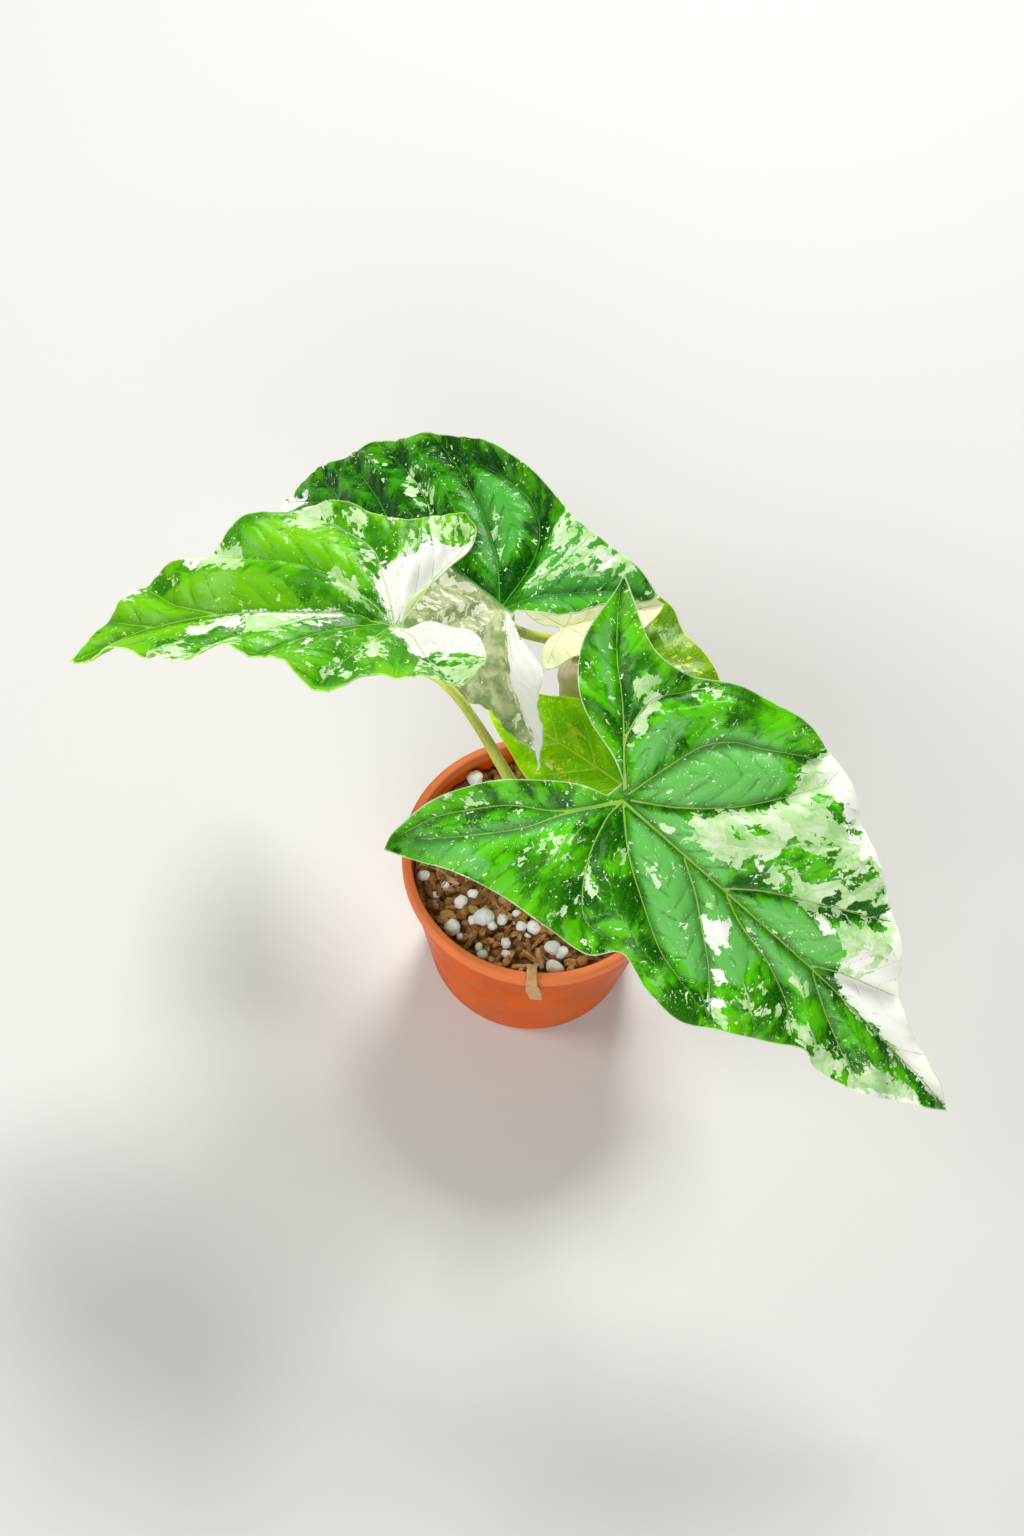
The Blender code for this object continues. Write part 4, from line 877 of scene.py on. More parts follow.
def distance_to_line(points, line):
    """Distance to a polyline, how far along it the nearest place lies, and the side it is on."""
    best = np.full(len(points), FAR)
    along = np.zeros(len(points))
    side = np.ones(len(points))
    travelled = 0.0
    for start, end in zip(line[:-1], line[1:]):
        edge = end - start
        length = float(np.linalg.norm(edge))
        offset = points - start
        share = np.clip(offset @ edge / (length * length), 0.0, 1.0)
        distance = np.linalg.norm(points - (start + share[:, None] * edge), axis=1)
        nearer = distance < best
        best[nearer] = distance[nearer]
        along[nearer] = travelled + share[nearer] * length
        side[nearer] = np.sign(edge[0] * offset[nearer, 1] - edge[1] * offset[nearer, 0])
        travelled += length
    return best, along, side


def inside(points, outline):
    """Which points lie inside a closed outline."""
    result = np.zeros(len(points), bool)
    for (u0, v0), (u1, v1) in zip(outline, np.roll(outline, -1, axis=0)):
        crosses = (v0 > points[:, 1]) != (v1 > points[:, 1])
        u_at_v = u0 + (points[:, 1] - v0) * (u1 - u0) / (v1 - v0 if v1 != v0 else 1e-9)
        result ^= crosses & (points[:, 0] < u_at_v)
    return result


def patch_level(points, patches):
    """Signed distance in mm to a set of patches, positive inside the nearest of them."""
    level = np.full(len(points), NO_PATCH)
    for patch in patches:
        outline = np.array(patch, float)
        distance, _, _ = distance_to_line(points, np.vstack([outline, outline[:1]]))
        level = np.maximum(level, np.where(inside(points, outline), distance, -distance))
    return level


def smooth_step(values, low, high):
    """A smooth step from 0 to 1 as values go from low to high."""
    share = np.clip((values - low) / (high - low), 0.0, 1.0)
    return share * share * (3.0 - 2.0 * share)


# How far a speckled patch blends into what is round it, and the distance at which levels stop growing
SPECKLE_BLEND = 1.5
LEVEL_LIMIT = 12.0


def tissue_levels(leaf, flat):
    """White and mint as distances in mm, positive inside, and milky and dull as shares."""
    islands = patch_level(flat, leaf.islands)
    white = np.minimum(patch_level(flat, leaf.white), -islands)
    mint = np.minimum(patch_level(flat, leaf.mint), -islands)
    for patch, lean in leaf.speckled:
        share = smooth_step(patch_level(flat, [patch]), -SPECKLE_BLEND, SPECKLE_BLEND)
        mint = mint * (1.0 - share) + lean * share
        white = white * (1.0 - share) + np.minimum(white, lean - 0.8) * share
    return {"white": np.clip(white, -LEVEL_LIMIT, LEVEL_LIMIT),
            "mint": np.clip(mint, -LEVEL_LIMIT, LEVEL_LIMIT),
            "milky": smooth_step(patch_level(flat, leaf.milky), -5.0, 4.0),
            "dull": smooth_step(patch_level(flat, leaf.dull), -0.5, 0.5)}


def bend(distance, angle, curvature):
    """How far a line reaches along and up when it starts at an angle and keeps a curvature."""
    if abs(curvature) < 1e-6:
        return distance * np.cos(angle), distance * np.sin(angle)
    turned = angle + curvature * distance
    along = (np.sin(turned) - np.sin(angle)) / curvature
    up = (np.cos(angle) - np.cos(turned)) / curvature
    return along, up


def blade_axes(leaf):
    """Unit vectors across the blade, along its midrib and out of its upper face."""
    heading, pitch, roll = (math.radians(angle) for angle in (leaf.heading, leaf.pitch, leaf.roll))
    level_along = np.array([math.cos(heading), math.sin(heading), 0.0])
    along = level_along * math.cos(pitch) + np.array([0.0, 0.0, math.sin(pitch)])
    level = np.array([math.sin(heading), -math.cos(heading), 0.0])
    across = level * math.cos(roll) + np.cross(level, along) * math.sin(roll)
    return across, along, np.cross(across, along)


def blade_places(leaf, flat):
    """World places of flat blade points: fold and curl the halves, then droop, then turn.

    The left half opens by unfold_left between the middle of the blade and its tip.
    """
    share = smooth_step(flat[:, 1], UNFOLD_START, UNFOLD_START + UNFOLD_LENGTH)
    opened = np.radians(leaf.fold_left + leaf.unfold_left * share)
    right_reach, right_rise = bend(np.maximum(flat[:, 0], 0), math.radians(leaf.fold_right), leaf.curl_right)
    left_reach, left_rise = bend(np.maximum(-flat[:, 0], 0), opened, leaf.curl_left)
    forward, forward_rise = bend(np.maximum(flat[:, 1], 0), 0.0, leaf.droop)
    backward, backward_rise = bend(np.maximum(-flat[:, 1], 0), 0.0, leaf.lobe_lift)
    x = right_reach - left_reach
    height = right_rise + left_rise
    turn = leaf.droop * np.maximum(flat[:, 1], 0) - leaf.lobe_lift * np.maximum(-flat[:, 1], 0)
    y = forward - backward - height * np.sin(turn)
    z = forward_rise + backward_rise + height * np.cos(turn)
    across, along, out = blade_axes(leaf)
    return np.array(leaf.joint, float) + x[:, None] * across + y[:, None] * along + z[:, None] * out


def blade_triangles(leaf, step):
    """Flat points and triangles that keep the outline and the ribs as edges."""
    outline = blade_outline(leaf, step)
    closed = np.vstack([outline, outline[:1]])
    points = [tuple(point) for point in outline]
    edges = []
    rib_points = []
    for rib in leaf.ribs:
        line = smooth_stroke(rib, step)
        distance, _, _ = distance_to_line(line, closed)
        line = line[(distance > step * OUTLINE_CLEARANCE) & inside(line, outline)]
        start = len(points)
        points += [tuple(point) for point in line]
        edges += [(start + index, start + index + 1) for index in range(len(line) - 1)]
        rib_points.append(line)
    rib_points = np.concatenate(rib_points)
    low, high = outline.min(axis=0), outline.max(axis=0)
    rows = []
    for row, v in enumerate(np.arange(low[1], high[1], step * math.sqrt(3) / 2)):
        u = np.arange(low[0] + (row % 2) * step / 2, high[0], step)
        rows.append(np.stack([u, np.full(len(u), v)], axis=1))
    lattice = np.concatenate(rows)
    lattice = lattice[inside(lattice, outline)]
    margin, _, _ = distance_to_line(lattice, closed)
    lattice = lattice[margin > step * OUTLINE_CLEARANCE]
    keep = np.ones(len(lattice), bool)
    for chunk in np.array_split(np.arange(len(lattice)), LATTICE_PARTS):
        gaps = lattice[chunk][:, None, :] - rib_points[None, :, :]
        keep[chunk] = (gaps ** 2).sum(axis=2).min(axis=1) > (step * RIB_CLEARANCE) ** 2
    points += [tuple(point) for point in lattice[keep]]
    result = delaunay_2d_cdt([Vector(point) for point in points], edges, [list(range(len(outline)))],
                             KEEP_INSIDE, MERGE_DISTANCE)
    flat = np.array([tuple(point) for point in result[0]])
    triangles = np.array([tuple(face) for face in result[2]])
    corners = flat[triangles]
    first, second = corners[:, 1] - corners[:, 0], corners[:, 2] - corners[:, 0]
    turned = first[:, 0] * second[:, 1] - first[:, 1] * second[:, 0] < 0
    triangles[turned] = triangles[turned][:, [0, 2, 1]]
    return flat, triangles, outline


def vertex_normals(places, triangles):
    """Unit normals of the points, each the mean of its triangles by their size."""
    corners = places[triangles]
    face_normals = np.cross(corners[:, 1] - corners[:, 0], corners[:, 2] - corners[:, 0])
    normals = np.zeros_like(places)
    for corner in range(3):
        np.add.at(normals, triangles[:, corner], face_normals)
    return normals / np.maximum(np.linalg.norm(normals, axis=1), 1e-12)[:, None]


def rib_field(leaf, flat):
    """What the ribs give each point.

    That is its distance to a rib, the same over the rib's half width, the flow, its distance to a
    small vein, and how far it is from the line where two sectors meet. Flow runs along the small
    veins, which leave a rib at SIDE_VEIN_LEAN degrees, also beyond the rib's end. Its third value
    sets the sectors between ribs apart.
    """
    lean = math.radians(SIDE_VEIN_LEAN)
    best, second, ratio, reach = (np.full(len(flat), FAR) for _ in range(4))
    flow = np.zeros((len(flat), 3))
    for index, rib in enumerate(leaf.ribs):
        line = smooth_stroke(rib, LINE_STEP)
        distance, along, _ = distance_to_line(flat, line)
        length = np.linalg.norm(np.diff(line, axis=0), axis=1).sum()
        foot_width = MIDRIB_HALF_WIDTH if index == 0 else RIB_HALF_WIDTH
        half_width = foot_width * (1.0 - 0.75 * along / length) + RIB_TIP_HALF_WIDTH
        ratio = np.minimum(ratio, distance / half_width)
        second = np.where(distance < best, best, np.minimum(second, distance))
        best = np.minimum(best, distance)
        onward = line[-1] - line[-2]
        line = np.vstack([line, line[-1] + onward / np.linalg.norm(onward) * RIB_RUN_ON])
        distance, along, side = distance_to_line(flat, line)
        nearer = distance < reach
        reach[nearer] = distance[nearer]
        streak = along * math.cos(lean) + distance * math.sin(lean)
        across = -along * math.sin(lean) + distance * math.cos(lean)
        sector = index * 7.3 + side * 2.1
        flow[nearer] = np.stack([streak, across, sector], axis=1)[nearer]
    waver = 0.8 * np.sin(flat[:, 0] * 0.21 + flow[:, 2]) + 0.6 * np.sin(flat[:, 1] * 0.17 + 2.0 * flow[:, 2])
    beat = ((flow[:, 1] + waver) / SIDE_VEIN_SPACING) % 1.0
    return best, ratio, flow, np.abs(beat - 0.5) * SIDE_VEIN_SPACING, second - best


def ridge_height(flat, line, rise, wide, narrow):
    """A ridge along a line, with a wide slope on its left and a narrow one on its right."""
    points = smooth_stroke(line, LINE_STEP)
    distance, along, side = distance_to_line(flat, points)
    length = np.linalg.norm(np.diff(points, axis=0), axis=1).sum()
    ends = np.clip(np.minimum(along, length - along) / RIDGE_FADE, 0.0, 1.0)
    return rise * np.sqrt(ends) * np.exp(-(distance / np.where(side > 0, wide, narrow)) ** 2)


def blade_relief(leaf, flat, outline, rib_distance, side_vein, to_sector):
    """Height over the bent sheet: panels between sunken ribs, ridges, rippled margin, dents and pads."""
    height = leaf.bulge * (1.0 - np.exp(-(rib_distance / RIB_VALLEY_WIDTH) ** 2))
    for line, rise, wide, narrow in leaf.ridges:
        height += ridge_height(flat, line, rise, wide, narrow)
    margin, along, _ = distance_to_line(flat, np.vstack([outline, outline[:1]]))
    height += leaf.ripple * np.exp(-margin / RIPPLE_REACH) * np.sin(2 * math.pi * along / leaf.ripple_length)
    for u, v, radius, rise in leaf.dents:
        height += rise * np.exp(-((flat[:, 0] - u) ** 2 + (flat[:, 1] - v) ** 2) / radius ** 2)
    pads = (1.0 - np.exp(-(side_vein / PAD_EDGE) ** 2)) * (1.0 - np.exp(-(rib_distance / PAD_FROM_RIB) ** 2))
    height += leaf.pads * pads * (1.0 - np.exp(-(to_sector / PAD_FROM_SECTOR) ** 2))
    from_joint = np.linalg.norm(flat, axis=1)
    return height * (1.0 - np.exp(-(from_joint / FLAT_ROUND_JOINT) ** 2)), margin


def mesh_object(name, vertices, faces, materials, smooth_angle=None):
    """A mesh object from millimetre points."""
    mesh = bpy.data.meshes.new(name)
    mesh.from_pydata((np.asarray(vertices, float) * MM).tolist(), [], [list(map(int, face)) for face in faces])
    for material in materials:
        mesh.materials.append(material)
    mesh.update()
    item = bpy.data.objects.new(name, mesh)
    bpy.context.scene.collection.objects.link(item)
    if smooth_angle is not None:
        mesh.shade_smooth()
        mesh.set_sharp_from_angle(angle=math.radians(smooth_angle))
    return item


def store(mesh, name, values):
    """Keeps a number or a vector for each vertex."""
    values = np.asarray(values, float)
    kind = "FLOAT_VECTOR" if values.ndim == 2 else "FLOAT"
    attribute = mesh.attributes.new(name, kind, "POINT")
    attribute.data.foreach_set("vector" if values.ndim == 2 else "value", values.ravel())


def strip_faces(rows, columns, closed=True):
    """Four-sided faces between rows of points, each row closed to a ring or left open."""
    faces = []
    for row in range(rows - 1):
        for column in range(columns if closed else columns - 1):
            a, b = row * columns + column, row * columns + (column + 1) % columns
            faces.append((a, b, b + columns, a + columns))
    return faces


def thicken(item, thickness):
    """Gives a sheet its thickness in mm. Returns the modifier."""
    modifier = item.modifiers.new("thick", "SOLIDIFY")
    modifier.thickness = thickness * MM
    return modifier


def finish_piece(item, node):
    """Rides the piece on the plant's body in place of its solid."""
    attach(item, BODY)
    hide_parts(node)


def make_blade(leaf, upper, under, thickness, step):
    """One leaf blade: a thin closed sheet with its tissue drawn in attributes."""
    flat, triangles, outline = blade_triangles(leaf, step)
    rib_distance, vein, flow, side_vein, to_sector = rib_field(leaf, flat)
    relief, margin = blade_relief(leaf, flat, outline, rib_distance, side_vein, to_sector)
    sheet = blade_places(leaf, flat)
    places = sheet + vertex_normals(sheet, triangles) * relief[:, None]
    offset = vertex_normals(places, triangles) * thickness / 2
    count = len(flat)
    directed = set()
    for a, b, c in triangles.tolist():
        directed.update(((a, b), (b, c), (c, a)))
    rim_faces = [(b, a, a + count, b + count) for a, b in sorted(directed) if (b, a) not in directed]
    faces = triangles.tolist() + (triangles[:, ::-1] + count).tolist() + rim_faces
    item = mesh_object(leaf.name + "_skin", np.vstack([places + offset, places - offset]), faces,
                       [upper, under], smooth_angle=50.0)
    slots = [0] * len(triangles) + [1] * len(triangles) + [0] * len(rim_faces)
    item.data.polygons.foreach_set("material_index", slots)
    values = tissue_levels(leaf, flat)
    values |= {"vein": vein, "side_vein": side_vein, "rib_distance": rib_distance, "margin": margin,
               "flow": flow, "place": np.column_stack([flat, np.zeros(count)])}
    for key, level in values.items():
        store(item.data, key, np.concatenate([level, level]))
    finish_piece(item, leaf.name)


def tube_mesh(route, radii, sides, step):
    """Points and faces of a round stalk along a smooth route, with flat ends."""
    line = smooth_stroke(route, step)
    thickness = np.interp(np.linspace(0, len(radii) - 1, len(line)), range(len(radii)), radii)
    tangents = np.gradient(line, axis=0)
    tangents /= np.linalg.norm(tangents, axis=1)[:, None]
    guide = np.array([1.0, 0.0, 0.0])
    vertices = []
    for point, tangent, radius in zip(line, tangents, thickness):
        guide = guide - tangent * (guide @ tangent)
        guide /= np.linalg.norm(guide)
        other = np.cross(tangent, guide)
        for index in range(sides):
            turn = 2 * math.pi * index / sides
            vertices.append(point + radius * (guide * math.cos(turn) + other * math.sin(turn)))
    faces = strip_faces(len(line), sides)
    faces.append(tuple(range(sides))[::-1])
    faces.append(tuple(range((len(line) - 1) * sides, len(line) * sides)))
    return vertices, faces


def stem_top():
    """The middle of the stem's top, the way the stem points there, and two unit vectors across it."""
    top = np.array(STEM_ROUTE[-1], float)
    aim = top - np.array(STEM_ROUTE[-2], float)
    aim /= np.linalg.norm(aim)
    side = np.cross(aim, (0.0, -1.0, 0.0))
    side /= np.linalg.norm(side)
    return top, aim, side, np.cross(aim, side)


def stem_seat(turn):
    """Where a petiole's foot stands on the stem's top, and the way the stem points there."""
    top, aim, side, back = stem_top()
    turn = math.radians(turn)
    offset = side * math.cos(turn) + back * math.sin(turn)
    return top + offset * STEM_SEAT_RADIUS, aim


def make_petiole(leaf, plan, material):
    """The stalk of one leaf, ending square to the blade just under its joint."""
    route = list(plan["route"])
    if "seat_turn" in plan:
        foot, aim = stem_seat(plan["seat_turn"])
        route = [tuple(foot), tuple(foot + aim * SEAT_RISE)] + route
    across, _, out = blade_axes(leaf)
    seat = np.array(leaf.joint, float) + across * plan.get("joint_shift", 0.0)
    end = seat - out * JOINT_CLEARANCE
    route += [tuple(end - out * plan.get("approach", JOINT_APPROACH)), tuple(end)]
    radii = [plan["foot_radius"], plan["foot_radius"] * 0.9, plan["top_radius"] * 1.05, plan["top_radius"]]
    vertices, faces = tube_mesh(route, radii, sides=20, step=1.5)
    item = mesh_object(plan["name"] + "_skin", vertices, faces, [material], smooth_angle=50.0)
    finish_piece(item, plan["name"])


def turned(profile, sides):
    """Points and faces of a solid turned about +Z from a profile that starts and ends on the axis."""
    vertices = [(0.0, 0.0, profile[0][1])]
    for radius, height in profile[1:-1]:
        for index in range(sides):
            turn = 2 * math.pi * index / sides
            vertices.append((radius * math.cos(turn), radius * math.sin(turn), height))
    vertices.append((0.0, 0.0, profile[-1][1]))
    rings = len(profile) - 2
    faces = []
    for index in range(sides):
        following = (index + 1) % sides
        faces.append((0, 1 + following, 1 + index))
        for ring in range(rings - 1):
            a = 1 + ring * sides + index
            b = 1 + ring * sides + following
            faces.append((a, b, b + sides, a + sides))
        last = 1 + (rings - 1) * sides
        faces.append((last + index, last + following, len(vertices) - 1))
    return vertices, faces


def pot_radius(height):
    """Outer radius of the pot's tapered body."""
    top = POT_LIP_RADIUS - POT_LIP_REACH
    return POT_BASE_RADIUS + (top - POT_BASE_RADIUS) * height / (POT_HEIGHT - POT_LIP_HEIGHT)


def inner_radius(height):
    """Radius of the pot's inside."""
    return min(pot_radius(height), POT_LIP_RADIUS - POT_LIP_REACH) - POT_WALL


def rounded(centre_radius, centre_height, size, start, stop, steps):
    """Points of an arc in the turned profile."""
    angles = np.linspace(math.radians(start), math.radians(stop), steps)
    return [(centre_radius + size * math.cos(a), centre_height + size * math.sin(a)) for a in angles]


def mix_surface(x, y):
    """Gentle uneven height of the mix."""
    return MIX_TOP + 0.7 * np.sin(x * 0.17 + 1.0) * np.cos(y * 0.21) + 0.4 * np.sin(x * 0.4 - y * 0.33)


class ARROWHEAD_OT_pot(bpy.types.Operator):
    """Make the tapered plastic pot with its rolled lip and drain holes"""
    bl_idname = "arrowhead.pot"
    bl_label = "Pot"

    # The lip's paler colour is painted light.
    lip_painted_light = (0.95, 0.36, 0.17, 1.0)
    soil_dust = (0.36, 0.20, 0.09, 1.0)

    def plastic(self, looks):
        """Smooth moulded plastic, painted paler on the lip as painted light, with soil dust and a few scuffs.
        """
        material, n, shader = new_material("terracotta_plastic", roughness=0.38, Specular_IOR_Level=0.08)
        place = n.object_place()
        group = n.put("ShaderNodeGroup", {"Vector": place, "Scale": 45.0,
                                          "Dark": shaded(looks.terracotta, 0.86),
                                          "Light": shaded(looks.terracotta, 1.14)}, node_tree=grain_group())
        height = n.put("ShaderNodeSeparateXYZ", {0: place}).outputs["Z"]
        lip_low = (POT_HEIGHT - POT_LIP_HEIGHT) * MM
        # Painted light: the rolled lip is painted paler.
        on_lip = n.step(height, lip_low - 0.001, lip_low + 0.0015, 0.0, 0.32)
        colour = n.mix(on_lip, group.outputs["Colour"], self.lip_painted_light)
        dust = n.noise(place, scale=700.0, detail=5.0, roughness=0.7)
        dusty = n.math("MULTIPLY", n.step(dust, 0.60, 0.66, 0.0, 0.5), n.step(height, 0.045, 0.070))
        colour = n.mix(dusty, colour, self.soil_dust)
        n.wire(shader.inputs["Base Color"], colour)
        scuffs = n.noise(place, scale=90.0, detail=5.0, roughness=0.6)
        n.wire(shader.inputs["Roughness"], n.step(scuffs, 0.35, 0.70, 0.34, 0.52))
        bump(n, shader, n.noise(place, scale=1500.0, detail=2.0), distance=0.00005)
        return material

    def section(self):
        """Half the shell's section: up the outside, over the rolled lip and down the inside."""
        lip_low = POT_HEIGHT - POT_LIP_HEIGHT
        lip_inner = inner_radius(lip_low)
        floor_side = POT_FLOOR + POT_FLOOR_BEVEL
        outside = [(pot_radius(height), height) for height in np.linspace(3.0, lip_low - 0.8, 12)]
        foot = rounded(POT_BASE_RADIUS - POT_BASE_ROUNDING, POT_BASE_ROUNDING, POT_BASE_ROUNDING, -90, 0, 8)
        lip = rounded(POT_LIP_RADIUS - 1.2, lip_low + 0.9, 1.2, -75, 0, 7)
        lip += rounded(POT_LIP_RADIUS - 1.4, POT_HEIGHT - 1.4, 1.4, 0, 90, 8)
        lip += rounded(lip_inner + 1.0, POT_HEIGHT - 1.0, 1.0, 90, 180, 7)
        inside_wall = [(lip_inner, lip_low), (inner_radius(floor_side), floor_side),
                       (inner_radius(POT_FLOOR) - POT_BASE_ROUNDING, POT_FLOOR)]
        return [(0.0, 0.0)] + foot + outside + lip + inside_wall + [(0.0, POT_FLOOR)]

    def cut_drain_holes(self, context, pot):
        """Cuts the holes with short rods, which are then removed."""
        cutters = bpy.data.collections.new("drain_holes")
        context.scene.collection.children.link(cutters)
        for index in range(DRAIN_HOLES):
            turn = 2 * math.pi * index / DRAIN_HOLES
            x, y = DRAIN_RING_RADIUS * math.cos(turn), DRAIN_RING_RADIUS * math.sin(turn)
            route = [(x, y, -3.0), (x, y, 0.0), (x, y, POT_FLOOR + 3.0)]
            rod, rod_faces = tube_mesh(route, [DRAIN_HOLE_RADIUS] * 2, sides=32, step=2.0)
            cutter = mesh_object("drain_hole", rod, rod_faces, [])
            context.scene.collection.objects.unlink(cutter)
            cutters.objects.link(cutter)
        modifier = pot.modifiers.new("holes", "BOOLEAN")
        modifier.operation = "DIFFERENCE"
        modifier.operand_type = "COLLECTION"
        modifier.collection = cutters
        context.view_layer.update()
        cut = bpy.data.meshes.new_from_object(pot.evaluated_get(context.evaluated_depsgraph_get()))
        pot.modifiers.clear()
        pot.data = cut
        for cutter in list(cutters.objects):
            bpy.data.objects.remove(cutter, do_unlink=True)
        bpy.data.collections.remove(cutters)
        if not cut.vertices:
            raise RuntimeError("the drain holes left no pot")

    def execute(self, context):
        looks = context.scene.arrowhead_plant.pot
        vertices, faces = turned(self.section(), looks.sides)
        pot = mesh_object("pot_shell", vertices, faces, [self.plastic(looks)], smooth_angle=35.0)
        self.cut_drain_holes(context, pot)
        finish_piece(pot, "pot")
        return {"FINISHED"}


MIX_SEED = 23
SPLINTER_SEED = 5
FIBRES = 70
CHIPS_CLEAR_OF_WALL = 1.5

# Perlite grains whose places are known: x, y and size
SEEN_GRAINS = [(-18, -23.5, 7.4), (-29, -29, 6.2), (-11.3, -23.4, 4.4), (-27, -18.2, 5.2), (-41.5, -8.6, 4.6),
               (0.4, -25.7, 5.6), (-9.1, -32.5, 4.0), (-8.7, -37, 3.4), (-18.6, -35.3, 3.6),
               (-17.1, -38.5, 4.6), (8, -33, 6.0), (11.5, -34.5, 5.4), (9.4, -40.5, 6.4), (-26.9, 34, 6.4),
               (-36.4, -15.6, 3.3), (-33.3, -11.5, 3.3)]


def stalk_feet():
    """Place and radius of each stalk where it rises out of the mix."""
    feet = [(STEM_ROUTE[0], STEM_RADII[0])]
    feet += [(plan["route"][0], plan["foot_radius"]) for _, plan in PETIOLES if "seat_turn" not in plan]
    return feet


def clear_of_stalks(x, y, size):
    """Whether a grain of this size fits beside the stalks."""
    return all(math.hypot(x - foot[0], y - foot[1]) > radius + size * 0.6 for foot, radius in stalk_feet())


def lump(draw, size, stretch, roughness, subdivisions):
    """Points and faces of an uneven grain."""
    grain = bmesh.new()
    bmesh.ops.create_icosphere(grain, subdivisions=subdivisions, radius=0.5)
    waves = [(draw.uniform(3, 9), draw.uniform(0, 6), Vector([draw.uniform(-1, 1) for _ in range(3)]))
             for _ in range(5)]
    points = []
    for vertex in grain.verts:
        swell = sum(math.sin(rate * vertex.co.dot(way) * 2 + phase) for rate, phase, way in waves) / 5
        point = vertex.co * (1.0 + roughness * swell)
        points.append((point.x * size * stretch[0], point.y * size * stretch[1], point.z * size * stretch[2]))
    faces = [[vertex.index for vertex in face.verts] for face in grain.faces]
    grain.free()
    return points, faces


def chip(draw, length, width, height):
    """Points and faces of a split, splintery bark chip."""
    sections = 4
    ring = 6
    points = []
    for index in range(sections):
        along = (index / (sections - 1) - 0.5) * length
        shrink = draw.uniform(0.75, 1.0) * (0.62 if index in (0, sections - 1) else 1.0)
        lift = draw.uniform(-0.12, 0.12) * height
        for corner in range(ring):
            turn = 2 * math.pi * corner / ring + 0.4
            points.append((along + draw.uniform(-0.08, 0.08) * length,
                           math.cos(turn) * width / 2 * shrink * draw.uniform(0.8, 1.1),
                           math.sin(turn) * height / 2 * shrink * draw.uniform(0.8, 1.1) + lift))
    faces = [(a, d, c, b) for a, b, c, d in strip_faces(sections, ring)]
    faces.append(tuple(range(ring)))
    faces.append(tuple(range((sections - 1) * ring, sections * ring))[::-1])
    return points, faces


class Gathering:
    """Many small shapes that become one piece of the mix, each with its own tone."""

    def __init__(self):
        self.points = []
        self.faces = []
        self.tones = []

    def add(self, points, faces, place, turn, tone):
        start = len(self.points)
        matrix = Matrix.Translation(place) @ turn.to_4x4()
        self.points += [tuple(matrix @ Vector(point)) for point in points]
        self.faces += [[start + index for index in face] for face in faces]
        self.tones += [tone] * len(points)

    def make(self, name, material, smooth_angle):
        item = mesh_object(name, self.points, self.faces, [material], smooth_angle)
        store(item.data, "tone", self.tones)
        finish_piece(item, "potting_mix")


def random_turn(draw, tilt):
    """A turn to any side, tipped by up to tilt radians."""
    yaw = Matrix.Rotation(draw.uniform(0, 2 * math.pi), 3, "Z")
    pitch = Matrix.Rotation(draw.uniform(-tilt, tilt), 3, "Y")
    return yaw @ pitch @ Matrix.Rotation(draw.uniform(-tilt, tilt), 3, "X")


def random_place(draw, reach):
    """A place in a circle about the pot's axis, with its distance from the axis."""
    turn, radius = draw.uniform(0, 2 * math.pi), reach * math.sqrt(draw.random())
    return radius * math.cos(turn), radius * math.sin(turn), radius


